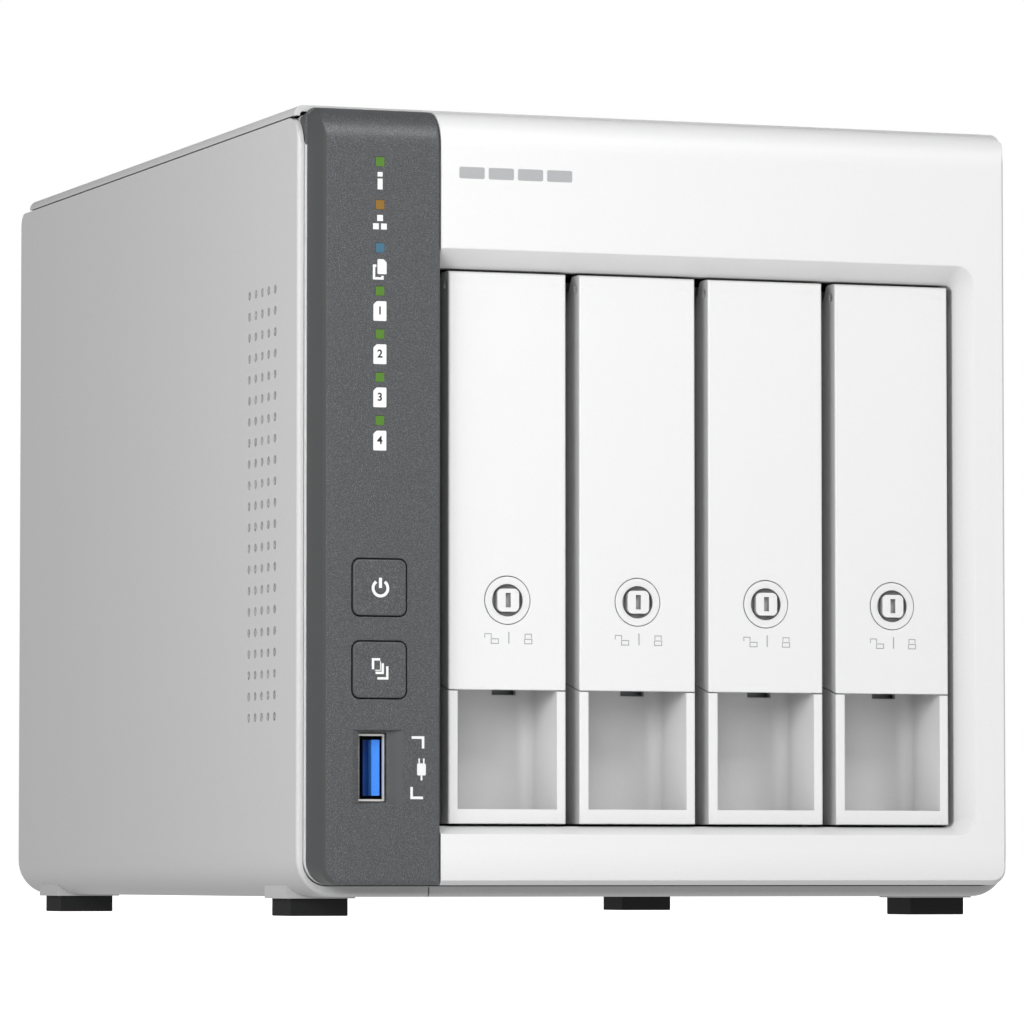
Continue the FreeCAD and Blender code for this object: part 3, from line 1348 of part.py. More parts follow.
# ---- Screws -------------------------------------------------------------------------------
def screw(head, way):
    """Pan-head machine screw: head seated at a point, shank along a way."""
    head = V(*head)
    way = V(*way)
    top = head - way * SCREW_HEAD_HEIGHT
    cap = rod(SCREW_HEAD_RADIUS, tuple(top), tuple(head))
    shank = rod(SCREW_RADIUS, tuple(head - way * 0.5), tuple(head + way * SCREW_LENGTH))
    side = V(0, 0, 1)
    across = way.cross(side)
    cuts = []
    for one, two in ((side, across), (across, side)):
        span = [abs(one[i]) * DRIVER_SPAN + abs(two[i]) * DRIVER_WIDTH for i in range(3)]
        deep = [abs(way[i]) * DRIVER_DEPTH for i in range(3)]
        low = [top[i] - span[i] / 2 - deep[i] / 2 for i in range(3)]
        high = [top[i] + span[i] / 2 + deep[i] / 2 for i in range(3)]
        cuts.append(box(low[0], high[0], low[1], high[1], low[2], high[2]))
    return without(fused([cap, shank]), cuts)


def machine_screws():
    """All pan-head screws of the boards and the rear panel."""
    screws = []
    for y, z in standoff_places():
        screws.append(screw((MAINBOARD_X - BOARD, y, z), (1, 0, 0)))
    for x, z in backplane_screws():
        screws.append(screw((x, BACKPLANE_Y + BOARD, z), (0, -1, 0)))
    for x, z in front_board_screws():
        screws.append(screw((x, FRONT_BOARD_Y + BOARD, z), (0, -1, 0)))
    for x, z in panel_screws():
        screws.append(screw((x, REAR_OUTER_Y, z), (0, -1, 0)))
    return Part.makeCompound(screws)


# ---- Fan ----------------------------------------------------------------------------------
def fan_corners():
    """Screw places of the fan."""
    offset = FAN_HOLE_OFFSET
    return [(FAN_X + sx * offset, FAN_Z + sz * offset) for sx in (-1, 1) for sz in (-1, 1)]


def fan_frame():
    """Fan housing with a motor base on four struts."""
    half = FAN_SIDE / 2
    y0 = FAN_FRONT_Y
    y1 = FAN_BACK_Y
    corners = rectangle(FAN_X - half, FAN_X + half, FAN_Z - half, FAN_Z + half, FAN_CORNER_RADIUS)
    flanges = [along_y(corners, y0, y0 + FAN_FLANGE), along_y(corners, y1 - FAN_FLANGE, y1)]
    ring = rod(FAN_RING_RADIUS, (FAN_X, y0, FAN_Z), (FAN_X, y1, FAN_Z))
    body = fused(flanges + [ring])
    cutters = [rod(FAN_BORE_RADIUS, (FAN_X, y0 - 1, FAN_Z), (FAN_X, y1 + 1, FAN_Z))]
    for x, z in fan_corners():
        cutters.append(rod(FAN_HOLE_RADIUS, (x, y0 - 1, z), (x, y1 + 1, z)))
    body = without(body, cutters)
    strut_y = y1 - FAN_STRUT_SETBACK
    strut_end = y1 - FAN_STRUT_REAR_GAP
    reach = FAN_BORE_RADIUS + 1
    thick = FAN_STRUT / 2
    struts = [
        box(FAN_X - reach, FAN_X + reach, strut_y, strut_end, FAN_Z - thick, FAN_Z + thick),
        box(FAN_X - thick, FAN_X + thick, strut_y, strut_end, FAN_Z - reach, FAN_Z + reach),
        rod(FAN_HUB_RADIUS, (FAN_X, strut_y, FAN_Z), (FAN_X, strut_end, FAN_Z)),
    ]
    bore = rod(FAN_SHAFT_RADIUS + FAN_SHAFT_CLEARANCE, (FAN_X, strut_y - 1, FAN_Z), (FAN_X, y1, FAN_Z))
    return fused([body] + struts).cut(bore)


def fan_blade():
    """One pitched blade, from inside the hub to near the bore."""
    wires = []
    mid_y = (FAN_FRONT_Y + FAN_BACK_Y) / 2 - 1.5
    for radius, chord, pitch in (FAN_ROOT, FAN_TIP):
        angle = math.radians(pitch)
        along = V(math.cos(angle), math.sin(angle), 0) * (chord / 2)
        across = V(-math.sin(angle), math.cos(angle), 0) * (FAN_BLADE / 2)
        centre = V(FAN_X, mid_y, FAN_Z + radius)
        low = centre - across
        high = centre + across
        points = [low - along, low + along, high + along, high - along, low - along]
        wires.append(Part.makePolygon(points))
    return Part.makeLoft(wires, True, True)


def fan_rotor():
    """Hub, blades and shaft of the fan."""
    y0 = FAN_FRONT_Y + 1.0
    y1 = FAN_BACK_Y - 4.5
    hub = rod(FAN_HUB_RADIUS, (FAN_X, y0, FAN_Z), (FAN_X, y1, FAN_Z))
    shaft = rod(FAN_SHAFT_RADIUS, (FAN_X, y1 - 1, FAN_Z), (FAN_X, FAN_BACK_Y - 1.0, FAN_Z))
    reach = FAN_BORE_RADIUS - FAN_BLADE_GAP
    sweep = rod(reach, (FAN_X, y0 + 0.5, FAN_Z), (FAN_X, y1 - 0.3, FAN_Z))
    blades = []
    for index in range(FAN_BLADES):
        blade = fan_blade()
        blade.rotate(V(FAN_X, 0, FAN_Z), V(0, 1, 0), 360.0 * index / FAN_BLADES)
        blades.append(blade.common(sweep))
    return fused([hub, shaft] + blades)


def fan_screws():
    """Self-tapping screws that hold the fan on the rear panel."""
    screws = []
    for x, z in fan_corners():
        head = rod(FAN_SCREW_HEAD, (x, REAR_OUTER_Y, z), (x, REAR_OUTER_Y + FAN_SCREW_HEIGHT, z))
        slot = box(x - 2.4, x + 2.4, REAR_OUTER_Y + 1.2, REAR_OUTER_Y + 3, z - 0.5, z + 0.5)
        shank = rod(FAN_HOLE_RADIUS, (x, REAR_OUTER_Y + 0.5, z), (x, REAR_OUTER_Y - FAN_SCREW_LENGTH, z))
        screws.append(fused([head, shank]).cut(slot))
    return Part.makeCompound(screws)


# ---- Rear panel and ports -----------------------------------------------------------------
def panel_screws():
    """Screw places at the rear panel's corners."""
    x = X_RIGHT - 7.0
    return [(-x, 14.0), (-x, HEIGHT - 9.0), (x, 14.0), (x, HEIGHT - 9.0)]


def grille_holes():
    """Staggered round holes inside the fan's circle, none over the motor."""
    holes = []
    rows = int(GRILLE_RADIUS / (GRILLE_PITCH * ROW_RATIO)) + 1
    columns = int(GRILLE_RADIUS / GRILLE_PITCH) + 1
    for row in range(-rows, rows + 1):
        for column in range(-columns, columns + 1):
            dx = (column + 0.5 * (row % 2)) * GRILLE_PITCH
            dz = row * GRILLE_PITCH * ROW_RATIO
            distance = math.hypot(dx, dz)
            if distance > GRILLE_RADIUS - GRILLE_HOLE_RADIUS:
                continue
            start = (FAN_X + dx, REAR_INNER_Y - 1, FAN_Z + dz)
            end = (FAN_X + dx, REAR_OUTER_Y + 1, FAN_Z + dz)
            holes.append(rod(GRILLE_HOLE_RADIUS, start, end))
    return holes


def jack_x():
    """Left and right faces of a network socket on the mainboard."""
    right = MAINBOARD_X - BOARD
    return right - JACK_HEIGHT, right


def reset_place():
    """Middle of the reset button in X, and the plane of its switch."""
    return MAINBOARD_X - BOARD - 4.0, REAR_INNER_Y - 6.0


def power_jack_x():
    """Middle of the power inlet in X."""
    return MAINBOARD_X - BOARD - POWER_JACK_SIDE / 2


def port_windows():
    """Cut-outs of the rear panel for the ports."""
    gap = PORT_CLEARANCE
    y0 = REAR_INNER_Y - 1
    y1 = REAR_OUTER_Y + 1
    left, right = jack_x()
    cuts = []
    for z in JACK_ZS:
        half = JACK_WIDTH / 2 + gap
        cuts.append(box(left - gap, right + gap, y0, y1, z - half, z + half))
    half = REAR_USB_WIDTH / 2 + gap
    x1 = MAINBOARD_X - BOARD
    cuts.append(box(x1 - REAR_USB_STACK - gap, x1 + gap, y0, y1, REAR_USB_Z - half, REAR_USB_Z + half))
    half = POWER_JACK_SIDE / 2 + gap
    x = power_jack_x()
    cuts.append(box(x - half, x + half, y0, y1, POWER_JACK_Z - half, POWER_JACK_Z + half))
    x = reset_place()[0]
    cuts.append(rod(RESET_RADIUS + RESET_CLEARANCE, (x, y0, RESET_Z), (x, y1, RESET_Z)))
    half = LOCK_SLOT_LENGTH / 2
    thick = LOCK_SLOT_HEIGHT / 2
    cuts.append(box(x - half, x + half, y0, y1, LOCK_SLOT_Z - thick, LOCK_SLOT_Z + thick))
    return cuts


def rear_panel():
    """Steel panel across the back, with a folded edge, fan grille and port cut-outs."""
    inset = SHEET + PANEL_GAP
    y0 = REAR_INNER_Y - REAR_FLANGE
    tray = cover_tube(inset, y0, REAR_OUTER_Y).cut(cover_tube(inset + SHEET, y0 - 1, REAR_INNER_Y))
    cutters = grille_holes() + port_windows()
    for x, z in panel_screws():
        start = (x, REAR_INNER_Y - 1, z)
        cutters.append(rod(SCREW_RADIUS + SCREW_CLEARANCE, start, (x, REAR_OUTER_Y + 1, z)))
    for x, z in fan_corners():
        start = (x, REAR_INNER_Y - 1, z)
        cutters.append(rod(FAN_HOLE_RADIUS + SCREW_CLEARANCE, start, (x, REAR_OUTER_Y + 1, z)))
    return without(tray, cutters)


def network_jacks():
    """Two network sockets on the mainboard's rear edge."""
    left, right = jack_x()
    y1 = REAR_OUTER_Y + PORT_PROUD
    jacks = []
    for z in JACK_ZS:
        half = JACK_WIDTH / 2
        body = box(left, right, y1 - JACK_DEPTH, y1, z - half, z + half)
        cavity = box(
            left + JACK_WALL,
            right - JACK_WALL - 1.6,
            y1 - JACK_SOCKET_DEPTH,
            y1 + 1,
            z - half + JACK_WALL + 0.3,
            z + half - JACK_WALL - 0.3,
        )
        notch = box(left + 0.8, left + JACK_WALL + 0.5, y1 - JACK_SOCKET_DEPTH, y1 + 1, z - 3, z + 3)
        jacks.append(without(body, [cavity, notch]))
    return Part.makeCompound(jacks)


def rear_usb_port():
    """Stacked pair of USB sockets at the back, with their tongues."""
    x1 = MAINBOARD_X - BOARD
    x0 = x1 - REAR_USB_STACK
    y1 = REAR_OUTER_Y + PORT_PROUD
    y0 = y1 - REAR_USB_DEPTH
    half = REAR_USB_WIDTH / 2
    body = box(x0, x1, y0, y1, REAR_USB_Z - half, REAR_USB_Z + half)
    cuts = []
    tongues = []
    for level in range(2):
        low = x0 + 0.9 + level * (REAR_USB_STACK / 2)
        inner = half - REAR_USB_WALL
        cuts.append(box(low, low + 5.1, y0 + 3, y1 + 1, REAR_USB_Z - inner, REAR_USB_Z + inner))
        tongues.append(box(low + 0.8, low + 2.6, y0 + 2, y1 - 1, REAR_USB_Z - 5.5, REAR_USB_Z + 5.5))
    return fused([without(body, cuts)] + tongues)


def power_jack():
    """Round power inlet with its centre pin."""
    x = power_jack_x()
    half = POWER_JACK_SIDE / 2
    y1 = REAR_OUTER_Y + PORT_PROUD
    y0 = y1 - POWER_JACK_DEPTH
    body = box(x - half, x + half, y0, y1, POWER_JACK_Z - half, POWER_JACK_Z + half)
    bore = rod(POWER_JACK_BORE, (x, y0 + 3, POWER_JACK_Z), (x, y1 + 1, POWER_JACK_Z))
    pin = rod(POWER_JACK_PIN, (x, y0 + 2, POWER_JACK_Z), (x, y1 - 1, POWER_JACK_Z))
    return fused([body.cut(bore), pin])


def reset_button():
    """Small round button in the rear panel, pressed towards its switch."""
    x, switch_y = reset_place()
    tip_y = switch_y + PLUNGER_HEIGHT + RESET_TRAVEL + 0.1
    stem = rod(RESET_RADIUS, (x, tip_y, RESET_Z), (x, REAR_OUTER_Y, RESET_Z))
    collar = rod(RESET_RADIUS + 1.0, (x, REAR_INNER_Y - 1.2, RESET_Z), (x, REAR_INNER_Y - 0.2, RESET_Z))
    return fused([stem, collar])


# ---- Export -------------------------------------------------------------------------------
def build():
    """Every sub-part by name."""
    parts = {
        "main_cover": main_cover(),
        "left_cover": left_cover(),
        "front_bezel": front_bezel(),
        "control_strip": control_strip(),
        "green_light_pipes": light_pipes([0, 3, 4, 5, 6]),
        "amber_light_pipe": light_pipes([1]),
        "blue_light_pipe": light_pipes([2]),
        "power_button": push_button(POWER_Z),
        "copy_button": push_button(COPY_Z),
        "front_usb_shell": front_usb_shell(),
        "front_usb_tongue": front_usb_tongue(),
        "front_board": front_board(),
        "indicator_leds": indicator_leds(),
        "push_switches": push_switches(),
        "ribbon_cable": ribbon_cable(),
        "drive_cage": drive_cage(),
        "upper_guides": upper_guides(),
        "lower_guides": lower_guides(),
        "backplane_board": backplane_board(),
        "drive_connectors": drive_connectors(),
        "link_connector": link_connector(),
        "mainboard": mainboard(),
        "board_standoffs": board_standoffs(),
        "board_chips": board_chips(),
        "heatsink": heatsink(),
        "coin_cell": coin_cell(),
        "machine_screws": machine_screws(),
        "fan_frame": fan_frame(),
        "fan_rotor": fan_rotor(),
        "fan_screws": fan_screws(),
        "rear_panel": rear_panel(),
        "network_jacks": network_jacks(),
        "rear_usb_port": rear_usb_port(),
        "power_jack": power_jack(),
        "reset_button": reset_button(),
    }
    for side, word in ((-1, "left"), (1, "right")):
        parts["foot_front_" + word] = foot(side, FRONT_FOOT_Y)
        parts["foot_rear_" + word] = foot(side, REAR_FOOT_Y)
    for index in range(TRAY_COUNT):
        number = str(index + 1)
        parts["tray_carrier_" + number] = tray_carrier(index)
        parts["tray_handle_" + number] = tray_handle(index)
        parts["tray_lock_" + number] = tray_lock(index)
        parts["hinge_pin_" + number] = hinge_pin(index)
        parts["hard_drive_" + number] = hard_drive(index)
    return parts


def main():
    """Build and write every sub-part."""
    os.makedirs("parts", exist_ok=True)
    for name, shape in build().items():
        print(name, "solids", len(shape.Solids), "valid", shape.isValid(), round(shape.Volume, 1))
        shape.exportStep("parts/" + name + ".step")


if __name__ == "__main__":
    main()
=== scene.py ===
"""Looks of a four-bay network attached storage unit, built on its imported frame."""

from __future__ import annotations

import logging
import math
from dataclasses import dataclass, field
from enum import Enum
from typing import Any

import bmesh
import bpy
from mathutils import Euler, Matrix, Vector


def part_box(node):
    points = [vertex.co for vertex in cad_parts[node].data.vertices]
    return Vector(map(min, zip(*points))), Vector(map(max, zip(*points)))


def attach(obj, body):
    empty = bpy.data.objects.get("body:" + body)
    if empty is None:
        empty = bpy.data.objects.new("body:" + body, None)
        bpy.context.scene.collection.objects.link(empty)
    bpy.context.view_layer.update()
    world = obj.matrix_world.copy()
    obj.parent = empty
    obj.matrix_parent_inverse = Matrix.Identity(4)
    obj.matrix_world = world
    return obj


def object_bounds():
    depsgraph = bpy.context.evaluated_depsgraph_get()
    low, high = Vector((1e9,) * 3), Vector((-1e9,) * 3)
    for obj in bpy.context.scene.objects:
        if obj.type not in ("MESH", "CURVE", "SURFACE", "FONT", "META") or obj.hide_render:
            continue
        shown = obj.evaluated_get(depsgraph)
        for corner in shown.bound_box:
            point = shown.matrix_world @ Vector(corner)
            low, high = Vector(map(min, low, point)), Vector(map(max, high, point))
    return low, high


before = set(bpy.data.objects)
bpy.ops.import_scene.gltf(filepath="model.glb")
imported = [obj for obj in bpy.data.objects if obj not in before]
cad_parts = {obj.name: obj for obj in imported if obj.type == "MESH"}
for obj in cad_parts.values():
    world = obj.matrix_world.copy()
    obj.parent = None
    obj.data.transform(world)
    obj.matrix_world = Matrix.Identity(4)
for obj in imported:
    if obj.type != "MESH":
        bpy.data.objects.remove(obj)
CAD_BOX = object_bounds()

log = logging.getLogger("storage_unit")
MM = 0.001
CHASSIS = "chassis"
TRAY_COUNT = 4
# How far the painted shade in hollows looks for walls, and the open share at which it is darkest.
HOLLOW_REACH = 14 * MM
HOLLOW_SHARE = 0.35

Point = tuple[float, float]
Loop = list[Point]


# ---- Small helpers ------------------------------------------------------------------------
def linear(code: str) -> tuple[float, float, float, float]:
    """Turns an sRGB hex colour into linear values.

    Args:
        code: Six hex digits, with or without a leading hash.

    Returns:
        Red, green, blue and an alpha of one.
    """
    digits = code.lstrip("#")
    shares = [int(digits[i : i + 2], 16) / 255 for i in (0, 2, 4)]
    bright = [c / 12.92 if c <= 0.04045 else ((c + 0.055) / 1.055) ** 2.4 for c in shares]
    return bright[0], bright[1], bright[2], 1.0


def add_node(
    tree: bpy.types.NodeTree,
    kind: str,
    inputs: dict[str | int, Any] | None = None,
    **settings: Any,
) -> bpy.types.Node:
    """Adds one node with its settings, values and links.

    Args:
        tree: The node tree that gets the node.
        kind: The node's type name.
        inputs: Socket name or number to a value, or to an output to link from.
        settings: Properties of the node itself.

    Returns:
        The new node.
    """
    made = tree.nodes.new(kind)
    for name, value in settings.items():
        setattr(made, name, value)
    for key, value in (inputs or {}).items():
        if isinstance(value, bpy.types.NodeSocket):
            tree.links.new(value, made.inputs[key])
        else:
            made.inputs[key].default_value = value
    return made


def mix_colour(
    tree: bpy.types.NodeTree, factor: bpy.types.NodeSocket, first: Any, second: Any
) -> bpy.types.NodeSocket:
    """Mixes two colours, each a value or an output, by a factor."""
    mix = add_node(tree, "ShaderNodeMix", {0: factor, 6: first, 7: second}, data_type="RGBA")
    return mix.outputs[2]


def middle(node: str) -> Vector:
    """Middle of a CAD node's box, in metres."""
    low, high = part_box(node)
    return (Vector(low) + Vector(high)) / 2


def face_y(node: str) -> float:
    """Foremost plane of a CAD node, in metres."""
    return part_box(node)[0][1]


# ---- Finishes -----------------------------------------------------------------------------
@dataclass(frozen=True)
class Finish:
    """One real material with its surface; the base class has a fine even grain.

    Attributes:
        name: Plain name of the material and of how it was made.
        colour: sRGB hex of its main colour.
        tint: sRGB hex of the slightly different colour in its grain.
        grain: Width of its grain in millimetres.
        relief: Height of its grain in millimetres.
        roughness: Typical roughness.
        metallic: One for bare metal.
        ior: Refractive index; bare metals keep the default.
        coat: Weight of a clear coat.
        hollow_shade: How much painted shade darkens the finish deep inside hollows and gaps.
        easing: Radius of its moulded edges in millimetres, so that they catch the light.
    """

    name: str
    colour: str
    tint: str
    grain: float = 0.4
    relief: float = 0.01
    roughness: float = 0.5
    metallic: float = 0.0
    ior: float = 1.5
    coat: float = 0.0
    hollow_shade: float = 0.0
    easing: float = 0.0

    def pattern(self, tree: bpy.types.NodeTree, place: bpy.types.NodeSocket) -> bpy.types.NodeSocket:
        """Grey pattern that drives colour and relief."""
        noise = add_node(
            tree,
            "ShaderNodeTexNoise",
            {"Vector": place, "Scale": 1 / (self.grain * MM), "Detail": 2.0, "Roughness": 0.6},
        )
        return noise.outputs["Fac"]

    def colours(
        self, tree: bpy.types.NodeTree, place: bpy.types.NodeSocket, grey: bpy.types.NodeSocket
    ) -> bpy.types.NodeSocket:
        """Base colour socket, mixed by the grain."""
        return mix_colour(tree, grey, linear(self.colour), linear(self.tint))

    def hollow_shaded(self, tree: bpy.types.NodeTree, colour: bpy.types.NodeSocket) -> bpy.types.NodeSocket:
        """Paints shade into a colour inside hollows and gaps, from an ambient occlusion node."""
        if not self.hollow_shade:
            return colour
        # Painted shade: the colour goes towards black where walls are near.
        open_share = add_node(tree, "ShaderNodeAmbientOcclusion", {"Distance": HOLLOW_REACH}, samples=6)
        share = open_share.outputs["AO"]
        levels = {0: share, 1: HOLLOW_SHARE, 3: 1 - self.hollow_shade, 4: 1.0}
        shade = add_node(tree, "ShaderNodeMapRange", levels)
        return mix_colour(tree, shade.outputs[0], linear("#000000"), colour)

    def special(self, tree: bpy.types.NodeTree, shader: bpy.types.Node) -> None:
        """Sets the sockets that only some finishes use."""
        shader.inputs["Coat Weight"].default_value = self.coat

    def material(self) -> bpy.types.Material:
        """The Blender material, made once and then reused."""
        existing = bpy.data.materials.get(self.name)
        if existing:
            return existing
        made = bpy.data.materials.new(self.name)
        made.use_nodes = True
        tree = made.node_tree
        tree.nodes.clear()
        place = add_node(tree, "ShaderNodeTexCoord").outputs["Object"]
        grey = self.pattern(tree, place)
        bump = add_node(tree, "ShaderNodeBump", {"Height": grey, "Distance": self.relief * MM})
        if self.easing:
            rounded = add_node(tree, "ShaderNodeBevel", {"Radius": self.easing * MM}, samples=6)
            tree.links.new(rounded.outputs["Normal"], bump.inputs["Normal"])
        shader = add_node(
            tree,
            "ShaderNodeBsdfPrincipled",
            {
                "Base Color": self.hollow_shaded(tree, self.colours(tree, place, grey)),
                "Roughness": self.roughness,
                "Metallic": self.metallic,
                "IOR": self.ior,
                "Normal": bump.outputs["Normal"],
            },
        )
        self.special(tree, shader)
        add_node(tree, "ShaderNodeOutputMaterial", {"Surface": shader.outputs["BSDF"]})
        return made


@dataclass(frozen=True)
class Flecked(Finish):
    """Sprayed paint with sharp bright flecks, and a smooth painted shade without flecks on faces turned to
    the left.

    Attributes:
        fleck: sRGB hex of the flecks.
        shade: sRGB hex of the dark pits between them.
        fleck_size: Spacing of the flecks in millimetres.
        edge: sRGB hex of the painted shade on faces turned to the left, such as the strip's left bevel.
    """

    fleck: str = "#828488"
    shade: str = "#434446"
    fleck_size: float = 0.22
    edge: str = "#4d4e4f"

    def colours(
        self, tree: bpy.types.NodeTree, place: bpy.types.NodeSocket, grey: bpy.types.NodeSocket
    ) -> bpy.types.NodeSocket:
        """Grain colour with pits and flecks; faces turned to the left get a smooth darker colour as painted
        shade.
        """
        cells = add_node(
            tree,
            "ShaderNodeTexNoise",
            {"Vector": place, "Scale": 1 / (self.fleck_size * MM), "Detail": 2.0, "Roughness": 0.8},
        ).outputs["Fac"]
        pits = add_node(tree, "ShaderNodeMapRange", {0: cells, 1: 0.46, 2: 0.3})
        flecks = add_node(tree, "ShaderNodeMapRange", {0: cells, 1: 0.52, 2: 0.72})
        base = mix_colour(tree, pits.outputs[0], linear(self.colour), linear(self.shade))
        painted = mix_colour(tree, flecks.outputs[0], base, linear(self.fleck))
        # Painted shade: faces turned towards -X take the smooth edge colour in place of the flecks.
        turned = add_node(tree, "ShaderNodeNewGeometry").outputs["Normal"]
        parts = add_node(tree, "ShaderNodeSeparateXYZ", {0: turned})
        side = add_node(tree, "ShaderNodeMapRange", {0: parts.outputs["X"], 1: -0.12, 2: -0.3})
        return mix_colour(tree, side.outputs[0], painted, linear(self.edge))


@dataclass(frozen=True)
class Glowing(Finish):
    """Clear moulded plastic that is lit from behind."""

    glow: float = 1.0

    def special(self, tree: bpy.types.NodeTree, shader: bpy.types.Node) -> None:
        """Adds the light that comes through."""
        super().special(tree, shader)
        shader.inputs["Emission Color"].default_value = linear(self.colour)
        shader.inputs["Emission Strength"].default_value = self.glow


@dataclass(frozen=True)
class Spangled(Finish):
    """Zinc-coated steel with its crystal pattern."""

    spangle: float = 9.0

    def pattern(self, tree: bpy.types.NodeTree, place: bpy.types.NodeSocket) -> bpy.types.NodeSocket:
        """Flat crystals, each of its own grey."""
        cells = add_node(tree, "ShaderNodeTexVoronoi", {"Vector": place, "Scale": 1 / (self.spangle * MM)})
        return cells.outputs["Color"]


@dataclass(frozen=True)
class Brushed(Finish):
    """Metal with fine straight marks along one axis."""

    stretch: tuple[float, float, float] = (1.0, 1.0, 0.04)

    def pattern(self, tree: bpy.types.NodeTree, place: bpy.types.NodeSocket) -> bpy.types.NodeSocket:
        """Noise drawn out along the rolling direction."""
        drawn = add_node(tree, "ShaderNodeMapping", {"Vector": place, "Scale": self.stretch})
        return super().pattern(tree, drawn.outputs["Vector"])


@dataclass(frozen=True)
class CircuitBoard(Finish):
    """Solder mask over copper tracks."""

    track: float = 1.1

    def pattern(self, tree: bpy.types.NodeTree, place: bpy.types.NodeSocket) -> bpy.types.NodeSocket:
        """Blocky cells that read as tracks and pads."""
        cells = add_node(
            tree,
            "ShaderNodeTexVoronoi",
            {"Vector": place, "Scale": 1 / (self.track * MM * 4)},
            distance="CHEBYCHEV",
            feature="F2",
        )
        lines = add_node(tree, "ShaderNodeMath", {0: cells.outputs["Distance"], 1: 9.0}, operation="MULTIPLY")
        wave = add_node(tree, "ShaderNodeMath", {0: lines.outputs[0]}, operation="FRACT")
        steps = add_node(tree, "ShaderNodeMapRange", {0: wave.outputs[0], 1: 0.45, 2: 0.5})
        return steps.outputs[0]


class Finishes:
    """Every finish of the unit, by what it covers."""

    # Polyester powder coat on steel: an even satin skin with a very fine orange peel, and painted shade in
    # its hollows.
    coated_steel = Finish(
        "powder coated steel", "#dfdfdf", "#d8d8d8", grain=0.9, relief=0.004, roughness=0.5, hollow_shade=0.3
    )
    # Spark-eroded mould texture on white ABS: matt, with soft broad highlights, and painted shade in its
    # hollows.
    moulded_abs = Finish(
        "white moulded ABS",
        "#f4f4f4",
        "#efefef",
        grain=0.35,
        relief=0.008,
        roughness=0.45,
        hollow_shade=0.34,
        easing=0.45,
    )
    # The same ABS in the small turning locks, with stronger painted shade in the joints.
    lock_abs = Finish(
        "white moulded ABS, deep painted shade",
        "#f4f4f4",
        "#efefef",
        grain=0.35,
        relief=0.008,
        roughness=0.45,
        hollow_shade=0.6,
        easing=0.2,
    )
    # Sprayed metallic grey on ABS: dark ground with tiny bright flecks and dark pits.
    metallic_grey = Flecked(
        "metallic grey sprayed ABS",
        "#4e5052",
        "#4a4b4e",
        grain=0.5,
        relief=0.008,
        roughness=0.42,
        easing=0.25,
    )
    # Clear acrylic light pipes, lit from behind: even saturated squares.
    green_pipe = Glowing(
        "green lit acrylic", "#54802f", "#50792c", grain=1.2, relief=0.002, roughness=0.3, glow=0.15
    )
    amber_pipe = Glowing(
        "amber lit acrylic", "#8c6a2c", "#846428", grain=1.2, relief=0.002, roughness=0.3, glow=0.15
    )
    blue_pipe = Glowing(
        "blue lit acrylic", "#456f86", "#41687c", grain=1.2, relief=0.002, roughness=0.3, glow=0.15
    )
    # Pad-printed inks: flat and slightly chalky.
    white_ink = Finish("printed white ink", "#fafafa", "#f2f2f2", grain=0.3, relief=0.002, roughness=0.6)
    dark_ink = Finish("printed dark ink", "#242527", "#2c2d2f", grain=0.3, relief=0.002, roughness=0.6)
    silver_ink = Finish("printed silver ink", "#b9babc", "#adaeb0", grain=0.3, relief=0.002, roughness=0.45)
    grey_ink = Finish("printed grey ink", "#8a8b8e", "#7e7f82", grain=0.3, relief=0.002, roughness=0.6)
    # Shallow engraving in white ABS, drawn as a flat pale grey film that is painted shade of the grooves.
    engraved = Finish("engraved ABS, painted groove shade", "#a2a3a4", "#969798", grain=0.2, relief=0.01, roughness=0.6)
    # Nickel-plated stamped steel of the sockets: bright, with faint drawing marks, and heavy painted shade
    # inside the sockets.
    nickel_steel = Brushed(
        "nickel plated stamped steel",
        "#f0efec",
        "#dddad5",
        grain=0.25,
        relief=0.001,
        roughness=0.2,
        metallic=1.0,
        hollow_shade=0.95,
    )
    # The same nickel on the shell's sheared front edge, lighter and without the painted shade: a painted
    # highlight on the rim.
    nickel_rim_highlight = Brushed(
        "nickel rim, painted highlight", "#f6f5f2", "#ebe9e5", grain=0.25, relief=0.001, roughness=0.55, metallic=1.0
    )
    # Glossy blue PBT of the fast USB tongue, with painted shade deep inside the shell.
    blue_pbt = Finish(
        "blue moulded PBT", "#1668d8", "#145fc6", grain=0.6, relief=0.003, roughness=0.25, hollow_shade=0.6
    )
    # Its leading edge in a lighter blue than the rest: a painted highlight.
    blue_tip_highlight = Finish("blue PBT, painted highlight", "#4a97ff", "#408cf6", grain=0.6, relief=0.002, roughness=0.2)
    # Gold flash on the contacts: small warm bright streaks.
    gold_contact = Brushed(
        "gold plated copper", "#e0b45a", "#c99c46", grain=0.2, relief=0.001, roughness=0.25, metallic=1.0
    )
    # Green solder mask with its tracks just showing.
    solder_mask = CircuitBoard(
        "green solder mask on glass epoxy", "#0e4a2a", "#17633a", relief=0.02, roughness=0.35
    )
    # Black PBT of the sockets: dull, with a fine mould grain.
    black_pbt = Finish("black moulded PBT", "#1a1a1b", "#232324", grain=0.3, relief=0.012, roughness=0.5)
    # Transfer-moulded epoxy of the chips: dark, even and matt.
    chip_epoxy = Finish("black moulded epoxy", "#202122", "#2a2b2c", grain=0.15, relief=0.006, roughness=0.6)
    # Hot-dip galvanised sheet: soft crystals in slightly different greys.
    zinc_steel = Spangled(
        "galvanised sheet steel", "#a9acae", "#bdc0c2", relief=0.003, roughness=0.38, metallic=1.0
    )
    # Zinc plate on turned steel: bright, with faint turning lines.
    zinc_screw = Brushed(
        "zinc plated turned steel", "#c4c6c8", "#a7a9ac", grain=0.2, relief=0.002, roughness=0.3, metallic=1.0
    )
